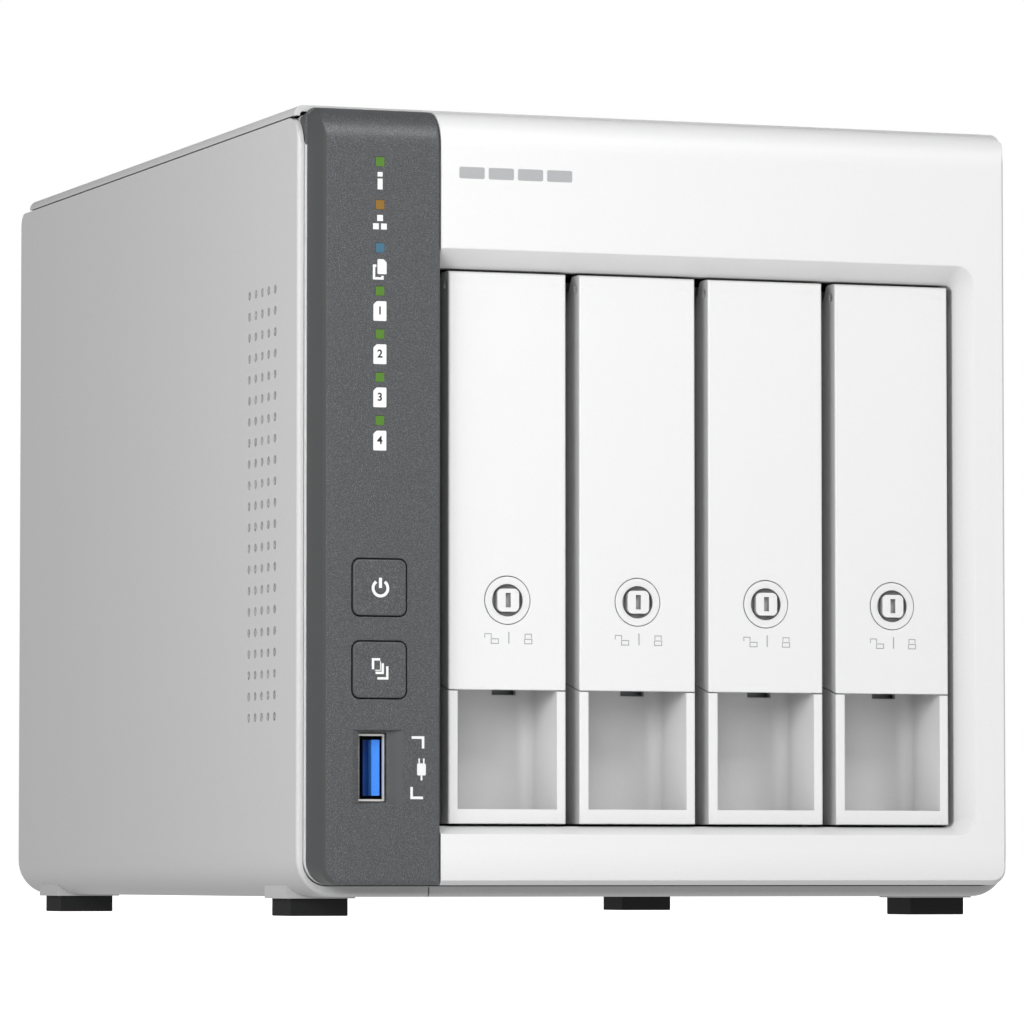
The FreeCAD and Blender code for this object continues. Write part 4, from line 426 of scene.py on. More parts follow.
    # Turned brass: warm and bright, with faint turning lines.
    turned_brass = Brushed(
        "turned brass", "#c9a55c", "#b08c46", grain=0.2, relief=0.002, roughness=0.3, metallic=1.0
    )
    # Extruded aluminium: fine straight lines from the die.
    extruded_aluminium = Brushed(
        "extruded aluminium", "#cfd0d2", "#b9babd", grain=0.3, relief=0.003, roughness=0.35, metallic=1.0
    )
    # Cast and blasted aluminium: pale, grainy and dull.
    cast_aluminium = Finish(
        "sand blasted cast aluminium",
        "#aeb0b3",
        "#9c9ea2",
        grain=0.45,
        relief=0.03,
        roughness=0.48,
        metallic=1.0,
    )
    # Moulded rubber of the feet: dark, dull and slightly dusty.
    moulded_rubber = Finish(
        "moulded rubber", "#121313", "#1a1b1b", grain=0.6, relief=0.02, roughness=0.85
    )
    # Moulded fan plastic: near black, with a satin face from the mould.
    fan_plastic = Finish(
        "black glass filled PBT", "#17181a", "#1f2022", grain=0.5, relief=0.01, roughness=0.42
    )
    # Ribbon cable: its wires side by side show as fine stripes along its length.
    ribbon = Brushed(
        "white ribbon cable",
        "#e9e9e6",
        "#c9c9c6",
        grain=0.9,
        relief=0.05,
        roughness=0.5,
        stretch=(0.02, 0.02, 1.0),
    )
    # Label paper on the drives: off-white, dull and nearly flat.
    label_paper = Finish(
        "matt white label paper", "#ecece8", "#e2e2de", grain=0.12, relief=0.004, roughness=0.7
    )


# ---- Dressing of the CAD nodes ------------------------------------------------------------
@dataclass
class Dresser:
    """Gives every CAD node its finish.

    Attributes:
        finishes: Node name, or its start for numbered nodes, to finish.
    """

    finishes: dict[str, Finish] = field(
        default_factory=lambda: {
            "main_cover": Finishes.coated_steel,
            "left_cover": Finishes.coated_steel,
            "rear_panel": Finishes.coated_steel,
            "front_bezel": Finishes.moulded_abs,
            "tray_carrier": Finishes.moulded_abs,
            "tray_handle": Finishes.moulded_abs,
            "tray_lock": Finishes.lock_abs,
            "control_strip": Finishes.metallic_grey,
            "power_button": Finishes.metallic_grey,
            "copy_button": Finishes.metallic_grey,
            "green_light_pipes": Finishes.green_pipe,
            "amber_light_pipe": Finishes.amber_pipe,
            "blue_light_pipe": Finishes.blue_pipe,
            "front_usb_shell": Finishes.nickel_steel,
            "front_usb_tongue": Finishes.blue_pbt,
            "network_jacks": Finishes.nickel_steel,
            "rear_usb_port": Finishes.nickel_steel,
            "hinge_pin": Finishes.nickel_steel,
            "coin_cell": Finishes.nickel_steel,
            "front_board": Finishes.solder_mask,
            "backplane_board": Finishes.solder_mask,
            "mainboard": Finishes.solder_mask,
            "indicator_leds": Finishes.white_ink,
            "push_switches": Finishes.black_pbt,
            "ribbon_cable": Finishes.ribbon,
            "drive_cage": Finishes.zinc_steel,
            "upper_guides": Finishes.black_pbt,
            "lower_guides": Finishes.black_pbt,
            "drive_connectors": Finishes.black_pbt,
            "link_connector": Finishes.black_pbt,
            "power_jack": Finishes.black_pbt,
            "reset_button": Finishes.black_pbt,
            "board_standoffs": Finishes.turned_brass,
            "board_chips": Finishes.chip_epoxy,
            "heatsink": Finishes.extruded_aluminium,
            "machine_screws": Finishes.zinc_screw,
            "fan_screws": Finishes.zinc_screw,
            "fan_frame": Finishes.fan_plastic,
            "fan_rotor": Finishes.fan_plastic,
            "hard_drive": Finishes.cast_aluminium,
            "foot": Finishes.moulded_rubber,
        }
    )

    def dress(self) -> None:
        """Assigns each node its material."""
        for name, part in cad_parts.items():
            key = max((k for k in self.finishes if name.startswith(k)), key=len)
            part.data.materials.clear()
            part.data.materials.append(self.finishes[key].material())
            log.info("%s is %s", name, self.finishes[key].name)


# ---- Flat marks ---------------------------------------------------------------------------
def block(x0: float, x1: float, z0: float, z1: float) -> Loop:
    """Plain rectangle, in millimetres."""
    return [(x0, z0), (x1, z0), (x1, z1), (x0, z1)]


def softened(corners: Loop, radius: float, steps: int = 5) -> Loop:
    """Rounds every corner of a closed outline.

    Args:
        corners: The sharp outline.
        radius: Corner radius in millimetres.
        steps: Points in each corner's arc.

    Returns:
        The rounded outline.
    """
    made: Loop = []
    count = len(corners)
    for i in range(count):
        here = Vector(corners[i])
        back = (Vector(corners[i - 1]) - here).normalized()
        ahead = (Vector(corners[(i + 1) % count]) - here).normalized()
        for k in range(steps + 1):
            t = k / steps
            start = here + back * radius
            end = here + ahead * radius
            spot = start * (1 - t) ** 2 + here * 2 * t * (1 - t) + end * t**2
            made.append((spot.x, spot.y))
    return made


def strokes(path: Loop, width: float, closed: bool = False) -> list[Loop]:
    """Turns a path into one outline of even width, with mitred corners.

    Args:
        path: Points of the middle line.
        width: Width of the line in millimetres.
        closed: True if the last point joins the first.

    Returns:
        One four-sided loop for each run of the path.
    """
    count = len(path)
    sides: list[tuple[Vector, Vector]] = []
    for i in range(count):
        here = Vector(path[i])
        back = Vector(path[i - 1]) if i or closed else None
        ahead = Vector(path[(i + 1) % count]) if i < count - 1 or closed else None
        first = (here - back).normalized() if back is not None else (ahead - here).normalized()
        last = (ahead - here).normalized() if ahead is not None else first
        normal = Vector((-(first + last).y, (first + last).x)).normalized()
        reach = width / 2 / max(normal.dot(Vector((-first.y, first.x))), 0.3)
        sides.append((here + normal * reach, here - normal * reach))
    loops = []
    for i in range(count if closed else count - 1):
        a, b = sides[i], sides[(i + 1) % count]
        loops.append([(p.x, p.y) for p in (a[1], b[1], b[0], a[0])])
    return loops


def arc(cx: float, cz: float, radius: float, start: float, end: float, steps: int = 24) -> Loop:
    """Points on an arc, with its angles in degrees."""
    made = []
    for k in range(steps + 1):
        angle = math.radians(start + (end - start) * k / steps)
        made.append((cx + radius * math.cos(angle), cz + radius * math.sin(angle)))
    return made


class Facing(Enum):
    """Side of the unit that a flat mark is on."""

    FRONT = -1
    REAR = 1


@dataclass
class Mark:
    """Thin film of ink or a label, drawn as closed loops on an upright plane.

    Attributes:
        name: Piece name.
        finish: Its finish.
        slot: A material slot name; not used.
        body: The body that it rides on.
        plane: Y of the surface under it, in metres.
        facing: The side of the unit that it faces.
        film: Thickness in millimetres.
        loops: Outlines in millimetres, X and Z.
    """

    name: str
    finish: Finish
    slot: str
    body: str
    plane: float
    facing: Facing = Facing.FRONT
    film: float = 0.02
    loops: list[Loop] = field(default_factory=list)

    def build(self) -> bpy.types.Object:
        """Makes one mesh of all loops, as closed thin plates."""
        shape = bmesh.new()
        outer = self.plane + self.facing.value * self.film * MM
        inner = self.plane - self.facing.value * self.film * MM
        for loop in self.loops:
            tops = [shape.verts.new((x * MM, outer, z * MM)) for x, z in loop]
            lows = [shape.verts.new((x * MM, inner, z * MM)) for x, z in loop]
            shape.faces.new(tops)
            shape.faces.new(list(reversed(lows)))
            for i in range(len(loop)):
                k = (i + 1) % len(loop)
                shape.faces.new((tops[k], tops[i], lows[i], lows[k]))
        bmesh.ops.recalc_face_normals(shape, faces=shape.faces)
        return place_mesh(self.name, shape, self.finish, self.body)


def place_mesh(
    name: str, shape: bmesh.types.BMesh, finish: Finish, body: str
) -> bpy.types.Object:
    """Turns a bmesh into a piece that rides on a body.

    Args:
        name: Piece name.
        shape: The mesh, freed afterwards.
        finish: Its finish.
        body: The body that it rides on.

    Returns:
        The new object.
    """
    mesh = bpy.data.meshes.new(name)
    shape.to_mesh(mesh)
    shape.free()
    mesh.materials.append(finish.material())
    made = bpy.data.objects.new(name, mesh)
    bpy.context.scene.collection.objects.link(made)
    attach(made, body)
    log.info("%s rides on %s", name, body)
    return made


def add_box(shape: bmesh.types.BMesh, low: Vector, high: Vector, bevel: float = 0.0) -> None:
    """Adds one box, in metres, with its edges bevelled."""
    verts = [
        shape.verts.new((x, y, z))
        for x in (low.x, high.x)
        for y in (low.y, high.y)
        for z in (low.z, high.z)
    ]
    quads = ((0, 1, 3, 2), (4, 6, 7, 5), (0, 4, 5, 1), (2, 3, 7, 6), (0, 2, 6, 4), (1, 5, 7, 3))
    faces = [shape.faces.new([verts[i] for i in quad]) for quad in quads]
    if bevel:
        edges = list({edge for face in faces for edge in face.edges})
        bmesh.ops.bevel(shape, geom=edges, offset=bevel, segments=2, profile=0.5, affect="EDGES")


# ---- Control strip ------------------------------------------------------------------------
@dataclass
class StripPrinting:
    """White symbols beside the indicator lights and the front socket.

    Attributes:
        bar: Width of the light symbols in millimetres.
        page: Width and height of the numbered pages.
        line: Width of thin outlines.
    """

    bar: float = 1.1
    page: tuple[float, float] = (2.85, 4.1)
    page_corner: float = 0.5
    line: float = 0.52
    square: float = 1.25
    digit_height: float = 2.3
    digit_weight: float = 0.05

    def lights(self) -> list[float]:
        """Heights of the seven lights in millimetres, top first."""
        low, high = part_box("green_light_pipes")
        top = high[2] / MM - 0.95
        bottom = low[2] / MM + 0.95
        return [top + (bottom - top) * i / 6 for i in range(7)]

    def build(self) -> None:
        """Makes the symbols and the digits."""
        y = face_y("green_light_pipes")
        x = middle("amber_light_pipe").x / MM
        zs = self.lights()
        loops: list[Loop] = []
        loops.append(block(x - self.bar / 2, x + self.bar / 2, zs[0] - 3.1, zs[0] - 2.15))
        loops.append(block(x - self.bar / 2, x + self.bar / 2, zs[0] - 5.75, zs[0] - 3.5))
        half = self.square / 2
        for dx, dz in ((0.0, -2.75), (-0.9, -4.5), (0.85, -4.5)):
            loops.append(block(x + dx - half, x + dx + half, zs[1] + dz - half, zs[1] + dz + half))
        loops += self.pages(x, zs[2])
        for z in zs[3:]:
            loops.append(self.numbered_page(x, z))
        Mark("light_symbols", Finishes.white_ink, "white_plastic", CHASSIS, y, loops=loops).build()
        for i, z in enumerate(zs[3:]):
            self.digit(i + 1, x, z - 4.15, y)
        self.socket_marks(y)

    def numbered_page(self, x: float, z: float) -> Loop:
        """Outline of a small page with one cut corner, under a light."""
        w, h = self.page
        top = z - 2.12
        corner = self.page_corner
        shape = [
            (x - w / 2, top - h),
            (x + w / 2, top - h),
            (x + w / 2, top),
            (x - w / 2 + corner * 1.4, top),
            (x - w / 2, top - corner * 1.4),
        ]
        return softened(shape, 0.22, 3)

    def pages(self, x: float, z: float) -> list[Loop]:
        """Filled page in front of an outlined page."""
        front = [
            (x - 0.55, z - 5.45),
            (x + 1.45, z - 5.45),
            (x + 1.45, z - 3.0),
            (x + 0.8, z - 2.35),
            (x - 0.55, z - 2.35),
        ]
        behind = [
            (x - 0.8, z - 3.75),
            (x - 1.3, z - 3.75),
            (x - 1.3, z - 6.35),
            (x + 0.55, z - 6.35),
            (x + 0.55, z - 5.8),
        ]
        return [softened(front, 0.2, 3)] + strokes(behind, self.line)

    def digit(self, number: int, x: float, z: float, y: float) -> None:
        """One printed digit, upright and facing the front.

        Args:
            number: The digit.
            x: Middle of the digit in millimetres.
            z: Its middle height in millimetres.
            y: Plane of the strip's face in metres.
        """
        text = bpy.data.curves.new(f"digit_{number}", "FONT")
        text.body = str(number)
        text.size = self.digit_height * MM
        text.align_x = "CENTER"
        text.align_y = "CENTER"
        text.extrude = 0.01 * MM
        text.offset = self.digit_weight * MM
        holder = bpy.data.objects.new("digit_outline", text)
        mesh = bpy.data.meshes.new_from_object(holder)
        bpy.data.objects.remove(holder)
        shape = bmesh.new()
        shape.from_mesh(mesh)
        bpy.data.meshes.remove(mesh)
        for vert in shape.verts:
            flat = vert.co.copy()
            vert.co = Vector((x * MM + flat.x, y - 0.03 * MM - flat.z, z * MM + flat.y))
        bmesh.ops.remove_doubles(shape, verts=shape.verts, dist=1e-7)
        bmesh.ops.recalc_face_normals(shape, faces=shape.faces)
        place_mesh(f"bay_digit_{number}", shape, Finishes.dark_ink, CHASSIS)

    def socket_marks(self, y: float) -> None:
        """Brackets round a plain plug symbol, beside the front socket."""
        low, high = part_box("front_usb_shell")
        z = (low[2] + high[2]) / 2 / MM
        right = high[0] / MM + 7.8
        left = right - 2.5
        loops = strokes([(left, z + 6.2), (right, z + 6.2), (right, z + 3.95)], 0.55)
        loops += strokes([(right, z - 6.2), (left, z - 6.2), (left, z - 3.95)], 0.55)
        x = right - 0.35
        loops.append(softened(block(x - 0.95, x + 0.95, z - 1.6, z + 0.9), 0.3, 3))
        for dx in (-0.5, 0.5):
            loops.append(block(x + dx - 0.16, x + dx + 0.16, z + 0.8, z + 1.9))
        loops.append(block(x - 0.2, x + 0.2, z - 2.6, z - 1.5))
        Mark("socket_symbols", Finishes.white_ink, "white_plastic", CHASSIS, y, loops=loops).build()


@dataclass
class ButtonPrinting:
    """White symbols on the two push buttons."""

    line: float = 0.62

    def build(self) -> None:
        """Makes the power symbol and the two-page symbol."""
        ink = Finishes.white_ink
        spot = middle("power_button")
        x, z = spot.x / MM + 0.1, spot.z / MM
        ring = strokes(arc(x, z - 0.15, 1.6, 125, 415, 36), self.line)
        ring.append(block(x - 0.33, x + 0.33, z - 0.1, z + 2.0))
        y = face_y("power_button")
        Mark("power_symbol", ink, "white_plastic", "power_button", y, loops=ring).build()
        spot = middle("copy_button")
        x, z = spot.x / MM, spot.z / MM
        pages = strokes([(x - 1.5, z + 0.1), (x - 1.5, z + 2.15), (x + 0.05, z + 2.15)], 0.5)
        pages += strokes([(x + 0.15, z + 1.8), (x + 0.15, z - 0.1), (x - 1.0, z - 0.1)], 0.2)
        pages += strokes([(x + 0.62, z + 1.35), (x + 0.62, z - 0.62), (x - 0.95, z - 0.62)], 0.5)
        pages += strokes([(x + 1.6, z + 0.75), (x + 1.6, z - 1.75), (x - 0.55, z - 1.75)], 0.5)
        y = face_y("copy_button")
        Mark("copy_symbol", ink, "white_plastic", "copy_button", y, loops=pages).build()


# ---- Bezel and trays ----------------------------------------------------------------------
@dataclass
class BezelMark:
    """Plain row of bars, one for each bay, printed on the bezel."""

    left: float = 4.1
    length: float = 25.0
    gap: float = 0.9
    height: float = 2.4
    middle_z: float = 154.1

    def build(self) -> None:
        """Makes the bars."""
        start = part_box("control_strip")[1][0] / MM + self.left
        step = (self.length + self.gap) / TRAY_COUNT
        z0, z1 = self.middle_z - self.height / 2, self.middle_z + self.height / 2
        loops = []
        for i in range(TRAY_COUNT):
            x = start + i * step
            loops.append(softened(block(x, x + step - self.gap, z0, z1), 0.4, 4))
        y = face_y("green_light_pipes")
        Mark("bay_row_mark", Finishes.silver_ink, "grey_plastic", CHASSIS, y, loops=loops).build()


@dataclass
class TrayPrinting:
    """Fine engraved padlocks under a tray's lock.

    Attributes:
        number: The tray's number, from one.
        line: Width of the engraved lines in millimetres.
    """

    number: int
    line: float = 0.16

    def padlock(self, x: float, z: float, shackle: float) -> list[Loop]:
        """Outline of a padlock.

        Args:
            x: Left side of its body.
            z: Underside of its body.
            shackle: How far its bow is moved sideways; zero when shut.

        Returns:
            Its lines.
        """
        lines = strokes(block(x, x + 1.6, z, z + 0.95), self.line, closed=True)
        left = x + 0.1 + shackle
        foot = z + 1.15
        right = left + 1.4
        top = foot + 0.85
        lines += strokes([(left, foot), (left, top), (right, top), (right, foot)], self.line)
        return lines

    def build(self) -> None:
        """Makes the two padlocks and the upright line between them."""
        lock = middle(f"tray_lock_{self.number}")
        box_low, box_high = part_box(f"tray_lock_{self.number}")
        x = lock.x / MM
        radius = (box_high[0] - box_low[0]) / 2 / MM
        z = box_low[2] / MM + radius - 9.0
        loops = self.padlock(x - 3.6, z, -1.5)
        loops.append(block(x + 0.2, x + 0.42, z, z + 2.45))
        loops += self.padlock(x + 3.8, z, 0.0)
        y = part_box(f"tray_handle_{self.number}")[0][1]
        body = f"handle_{self.number}"
        name = f"lock_symbols_{self.number}"
        # The grey film is painted shade standing in for the engraved grooves.
        Mark(name, Finishes.engraved, "white_plastic", body, y, film=0.01, loops=loops).build()


# ---- Sockets, drives and rear -------------------------------------------------------------
def plain_boxes(
    name: str, boxes: list[tuple[Vector, Vector]], finish: Finish, body: str, bevel: float = 0.0
) -> None:
    """Makes one piece of several boxes.

    Args:
        name: Piece name.
        boxes: Lowest and highest corner of each box, in metres.
        finish: Its finish.
        body: The body that it rides on.
        bevel: Width of the bevel on every edge, in metres.
    """
    shape = bmesh.new()
    for low, high in boxes:
        add_box(shape, low, high, bevel)
    bmesh.ops.recalc_face_normals(shape, faces=shape.faces)
    place_mesh(name, shape, finish, body)


@dataclass
class RearSockets:
    """Contacts, tongues and small lights of the rear ports, with the plain marks beside them.

    Attributes:
        wire: Width of a spring contact in millimetres.
        wire_pitch: Spacing of the contacts in millimetres.
        wire_count: Contacts in each network socket.
        light_side: Side of a small square network light in millimetres.
        shell_wall: From the outside of the USB shell to its opening in millimetres.
        tongue_gap: From the edge of a USB opening to its tongue in millimetres.
        tongue_height: Height of a USB tongue in millimetres.
        pad_pitch: Spacing of the pads on a USB tongue in millimetres.
        pad_count: Pads on each USB tongue.
    """

    wire: float = 0.45
    wire_pitch: float = 1.02
    wire_count: int = 8
    light_side: float = 1.8
    shell_wall: float = 0.9
    tongue_gap: float = 0.8
    tongue_height: float = 11.1
    pad_pitch: float = 2.5
    pad_count: int = 4

    def contacts(self) -> None:
        """Gold spring contacts inside the two network sockets."""
        low, high = (Vector(v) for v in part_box("network_jacks"))
        half = (high.z - low.z - 20 * MM - 16 * MM) / 2
        wires = []
        lights: list[Loop] = []
        for z in (low.z + 8 * MM + half, high.z - 8 * MM - half):
            for i in range(self.wire_count):
                mid = z + (i - (self.wire_count - 1) / 2) * self.wire_pitch * MM
                start = Vector((high.x - 4.6 * MM, high.y - 12.8 * MM, mid - self.wire * MM / 2))
                end = Vector((high.x - 3.6 * MM, high.y - 2.5 * MM, mid + self.wire * MM / 2))
                wires.append((start, end))
            for side in (-1, 1):
                x = high.x / MM - 1.7
                mid = z / MM + side * 5.0
                half_light = self.light_side / 2
                lights.append(block(x - half_light, x + half_light, mid - half_light, mid + half_light))
        plain_boxes("network_contacts", wires, Finishes.gold_contact, CHASSIS, 0.1 * MM)
        for number, finish, slot, chosen in (
            (1, Finishes.green_pipe, "green_light", lights[::2]),
            (2, Finishes.amber_pipe, "amber_light", lights[1::2]),
        ):
            name = f"network_light_{number}"
            Mark(name, finish, slot, CHASSIS, high.y, Facing.REAR, 0.05, chosen).build()

    def tongues(self) -> None:
        """Blue caps over the tongues of the rear USB sockets, with their contacts."""
        low, high = (Vector(v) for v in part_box("rear_usb_port"))
        step = (high.x - low.x) / 2
        mid = (low.z + high.z) / 2
        caps = []
        pads = []
        for level in range(2):
            x = low.x + (self.shell_wall + self.tongue_gap) * MM + level * step
            caps.append(
                (
                    Vector((x - 0.05 * MM, high.y - 12 * MM, mid - self.tongue_height / 2 * MM)),
                    Vector((x + 1.85 * MM, high.y - 0.95 * MM, mid + self.tongue_height / 2 * MM)),
                )
            )
            for i in range(self.pad_count):
                z = mid + (i - (self.pad_count - 1) / 2) * self.pad_pitch * MM
                pads.append(
                    (
                        Vector((x + 1.8 * MM, high.y - 9 * MM, z - 0.5 * MM)),
                        Vector((x + 1.95 * MM, high.y - 1.6 * MM, z + 0.5 * MM)),
                    )
                )
        plain_boxes("rear_usb_tongues", caps, Finishes.blue_pbt, CHASSIS, 0.15 * MM)
        plain_boxes("rear_usb_contacts", pads, Finishes.gold_contact, CHASSIS)

    def marks(self) -> None:
        """Plain symbols printed beside the ports."""
        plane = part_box("rear_panel")[1][1]
        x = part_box("network_jacks")[1][0] / MM + 5.2
        loops: list[Loop] = []
        jack = middle("power_jack")
        loops += strokes(arc(x, jack.z / MM, 1.5, 0, 360, 28), 0.35)
        loops.append(arc(x, jack.z / MM, 0.55, 0, 345, 16))
        low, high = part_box("network_jacks")
        for z in (low[2] / MM + 8, high[2] / MM - 8):
            for dx, dz in ((0.0, 1.1), (-1.1, -0.9), (1.1, -0.9)):
                loops.append(block(x + dx - 0.65, x + dx + 0.65, z + dz - 0.65, z + dz + 0.65))
            left, right = x - 1.1, x + 1.1
            low_z, high_z = z - 0.2, z + 0.15
            loops += strokes([(left, low_z), (left, high_z), (right, high_z), (right, low_z)], 0.25)
        z = middle("rear_usb_port").z / MM
        loops.append(softened(block(x - 0.95, x + 0.95, z - 1.4, z + 0.7), 0.3, 3))
        for dx in (-0.5, 0.5):
            loops.append(block(x + dx - 0.16, x + dx + 0.16, z + 0.6, z + 1.7))
        z = middle("reset_button").z / MM
        loops += strokes(arc(x, z, 1.3, 40, 330, 24), 0.32)
        ink = Finishes.grey_ink
        Mark("port_symbols", ink, "grey_plastic", CHASSIS, plane, Facing.REAR, 0.02, loops).build()

    def build(self) -> None:
        """Makes everything at the rear."""
        self.contacts()
        self.tongues()
        self.marks()


@dataclass
class FrontSocket:
    """Shell rim and tongue tip of the front USB socket, both brightened as painted highlights, and its
    contacts.

    Attributes:
        rim: Width of the shell's rim in millimetres.
        tip: Left and right side of the tongue's tip, from the socket's middle, in millimetres.
        tip_setback: Depth of the tip behind the rim in millimetres.
        pads: Number of contacts.
    """

    rim: float = 0.42
    tip: tuple[float, float] = (0.45, 2.25)
    tip_setback: float = 1.0
    pads: int = 4

    def build(self) -> None:
        """Makes the rim, the tip and the gold pads on its right side."""
        low, high = (Vector(v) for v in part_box("front_usb_shell"))
        tongue_low, tongue_high = (Vector(v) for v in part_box("front_usb_tongue"))
        front = low.y - 0.02 * MM
        back = low.y + 0.5 * MM
        rim = self.rim * MM
        # Thin boxes over the shell's real front edge, in the lighter nickel: a painted highlight on the rim.
        bars = [
            (Vector((low.x, front, high.z - rim)), Vector((high.x, back, high.z))),
            (Vector((low.x, front, low.z)), Vector((high.x, back, low.z + rim))),
            (Vector((high.x - rim, front, low.z + rim)), Vector((high.x, back, high.z - rim))),
            (Vector((low.x, front, low.z + rim)), Vector((low.x + rim / 2, back, high.z - rim))),
        ]
        plain_boxes("front_usb_rim_highlight", bars, Finishes.nickel_rim_highlight, CHASSIS)
        mid = (low + high) / 2
        left, right = (mid.x + side * MM for side in self.tip)
        start = low.y + self.tip_setback * MM
        tip = (Vector((left, start, tongue_low.z)), Vector((right, tongue_high.y, tongue_high.z)))
        # The tip box in the lighter blue is a painted highlight on the tongue's leading edge.
        plain_boxes("front_usb_tip_highlight", [tip], Finishes.blue_tip_highlight, CHASSIS, 0.12 * MM)
        boxes = []
        for i in range(self.pads):
            z = mid.z + (i - (self.pads - 1) / 2) * 2.5 * MM
            pad_low = Vector((right - 0.05 * MM, start + 2.0 * MM, z - 0.5 * MM))
            boxes.append((pad_low, Vector((right + 0.08 * MM, start + 8.0 * MM, z + 0.5 * MM))))
        plain_boxes("front_usb_contacts", boxes, Finishes.gold_contact, CHASSIS)


@dataclass
class DriveDetails:
    """Circuit board and blank label of one hard drive.

    Attributes:
        number: The drive's number, from one.
        chips: Place along and up the board, then length and height, of each chip in millimetres.
    """

    number: int
    chips: tuple[tuple[int, int, int, int], ...] = (
        (12, 20, 14, 14),
        (40, 24, 9, 12),
        (30, 58, 7, 7),
        (60, 60, 10, 5),
        (14, 66, 5, 9),
    )

    def build(self) -> None:
        """Makes the board with its chips on one side and the label on the other."""
        body = f"tray_{self.number}"
        low, high = (Vector(v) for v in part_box(f"hard_drive_{self.number}"))
        board_low = Vector((low.x + 0.5 * MM, low.y + 46 * MM, low.z + 4.5 * MM))
        board_high = Vector((low.x + 1.45 * MM, high.y - 11 * MM, high.z - 4.5 * MM))
        plain_boxes(
            f"drive_board_{self.number}",
            [(board_low, board_high)],
            Finishes.solder_mask,
            body,
            0.1 * MM,
        )
        chips = []
        for dy, dz, wide, tall in self.chips:
            start = Vector((low.x + 0.05 * MM, board_low.y + dy * MM, board_low.z + dz * MM))
            chips.append((start, start + Vector((0.5 * MM, wide * MM, tall * MM))))
        name = f"drive_chips_{self.number}"
        plain_boxes(name, chips, Finishes.chip_epoxy, body, 0.1 * MM)
        label = (
            Vector((high.x - 0.02 * MM, low.y + 12 * MM, low.z + 14 * MM)),
            Vector((high.x + 0.04 * MM, high.y - 30 * MM, high.z - 14 * MM)),
        )
        plain_boxes(f"drive_label_{self.number}", [label], Finishes.label_paper, body)
        bars = []
        for i in range(5):
            start = Vector((high.x + 0.03 * MM, label[0].y + 8 * MM, label[0].z + (10 + 11 * i) * MM))
            bars.append((start, start + Vector((0.03 * MM, (70 - 9 * (i % 3)) * MM, 2.5 * MM))))
        plain_boxes(f"drive_label_bars_{self.number}", bars, Finishes.grey_ink, body)


# ---- Studio -------------------------------------------------------------------------------
@dataclass(frozen=True)
class Lamp:
    """One square soft light.

    Attributes:
        name: The lamp's name.
        place: Where it hangs, in metres.
        size: Side of its square in metres.
        watts: Its power.
    """

    name: str
    place: tuple[float, float, float]
    size: float
    watts: float

    def build(self, aim: Vector) -> None:
        """Hangs the lamp, facing a point."""
        data = bpy.data.lights.new(self.name, "AREA")
        data.shape = "SQUARE"
        data.size = self.size
        data.energy = self.watts
        made = bpy.data.objects.new(self.name, data)
        made.location = self.place
        made.rotation_euler = (aim - Vector(self.place)).to_track_quat("-Z", "Y").to_euler()
        made.visible_camera = False
        bpy.context.scene.collection.objects.link(made)


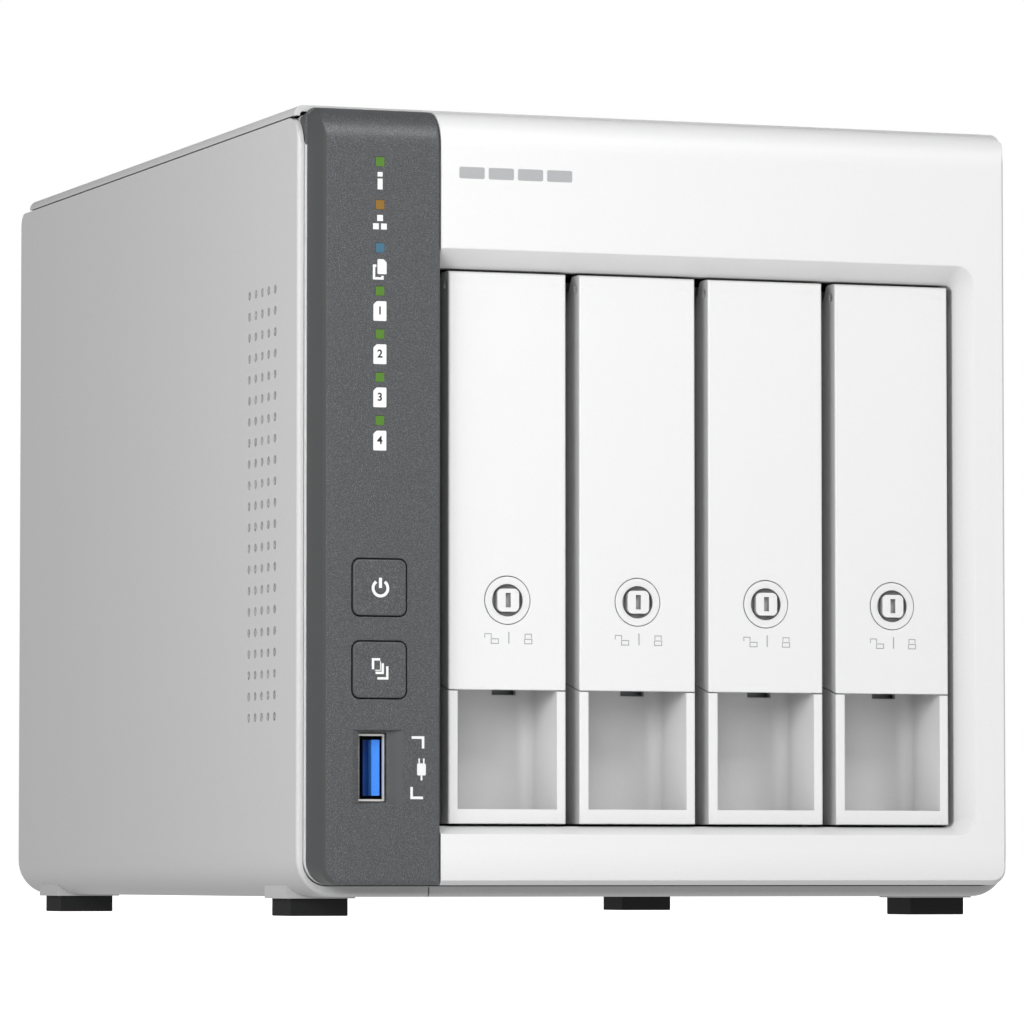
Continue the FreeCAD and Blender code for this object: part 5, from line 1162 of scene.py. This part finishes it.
@dataclass
class Studio:
    """Plain floor, soft lights and the camera.

    Attributes:
        position: Camera place in metres.
        yaw: Camera turn to the right of +Y in degrees.
        pitch: Camera tilt above the horizon in degrees.
        lens: Focal length in millimetres on a 36 mm sensor.
    """

    position: tuple[float, float, float] = (-0.4856, -1.3418, 0.009)
    yaw: float = 20.06
    pitch: float = 3.26
    lens: float = 222.67
    sensor: float = 36.0
    overhead: float = 0.08
    underneath: float = 0.83
    lamps: tuple[Lamp, ...] = (
        Lamp("key_light", (0.35, -1.9, 2.0), 1.0, 31.5),
        Lamp("corner_light", (-0.42, -0.42, 0.18), 0.2, 1.15),
        Lamp("left_light", (-0.9, -2.0, 0.7), 0.8, 4.9),
    )

    def camera(self) -> None:
        """Makes the scene's camera."""
        data = bpy.data.cameras.new("camera")
        data.lens = self.lens
        data.sensor_width = self.sensor
        data.clip_start = 0.01
        made = bpy.data.objects.new("camera", data)
        made.location = self.position
        made.rotation_euler = Euler((math.radians(90 + self.pitch), 0, math.radians(-self.yaw)))
        bpy.context.scene.collection.objects.link(made)
        bpy.context.scene.camera = made

    def floor(self) -> None:
        """Pale floor, lit from inside like a light table, so that shadows on it stay faint."""
        mesh = bpy.data.meshes.new("studio_floor")
        shape = bmesh.new()
        bmesh.ops.create_grid(shape, x_segments=4, y_segments=4, size=12.0)
        shape.to_mesh(mesh)
        shape.free()
        made = bpy.data.objects.new("studio_floor", mesh)
        bpy.context.scene.collection.objects.link(made)
        table = Glowing(
            "pale light table", "#f8f8f8", "#f4f4f4", grain=40.0, relief=0.0, roughness=0.7, glow=1.0
        )
        mesh.materials.append(table.material())
        made.visible_diffuse = False
        made.visible_glossy = False

    def surroundings(self) -> None:
        """White backdrop, with light that is soft from above and dim from below."""
        world = bpy.data.worlds.new("studio_surroundings")
        world.use_nodes = True
        tree = world.node_tree
        tree.nodes.clear()
        way = add_node(tree, "ShaderNodeTexCoord").outputs["Generated"]
        height = add_node(tree, "ShaderNodeSeparateXYZ", {0: way}).outputs["Z"]
        level = add_node(
            tree, "ShaderNodeMapRange", {0: height, 1: -1.0, 2: 1.0, 3: self.underneath, 4: self.overhead}
        )
        soft = add_node(tree, "ShaderNodeBackground", {"Color": (1, 1, 1, 1), "Strength": level.outputs[0]})
        plain = add_node(tree, "ShaderNodeBackground", {"Color": (1, 1, 1, 1), "Strength": 1.0})
        seen = add_node(tree, "ShaderNodeLightPath").outputs["Is Camera Ray"]
        both = add_node(tree, "ShaderNodeMixShader", {0: seen, 1: soft.outputs[0], 2: plain.outputs[0]})
        add_node(tree, "ShaderNodeOutputWorld", {"Surface": both.outputs[0]})
        bpy.context.scene.world = world

    def build(self) -> None:
        """Makes the whole studio."""
        low, high = (Vector(v) for v in CAD_BOX)
        self.camera()
        self.floor()
        self.surroundings()
        for lamp in self.lamps:
            lamp.build((low + high) / 2)
        bpy.context.scene.view_settings.view_transform = "Standard"


def main() -> None:
    """Builds the looks in order."""
    logging.basicConfig(level=logging.INFO, format="%(message)s")
    Dresser().dress()
    StripPrinting().build()
    ButtonPrinting().build()
    BezelMark().build()
    for number in range(1, TRAY_COUNT + 1):
        TrayPrinting(number).build()
        DriveDetails(number).build()
    FrontSocket().build()
    RearSockets().build()
    Studio().build()
    log.info("sizes written")


if __name__ == "__main__":
    main()
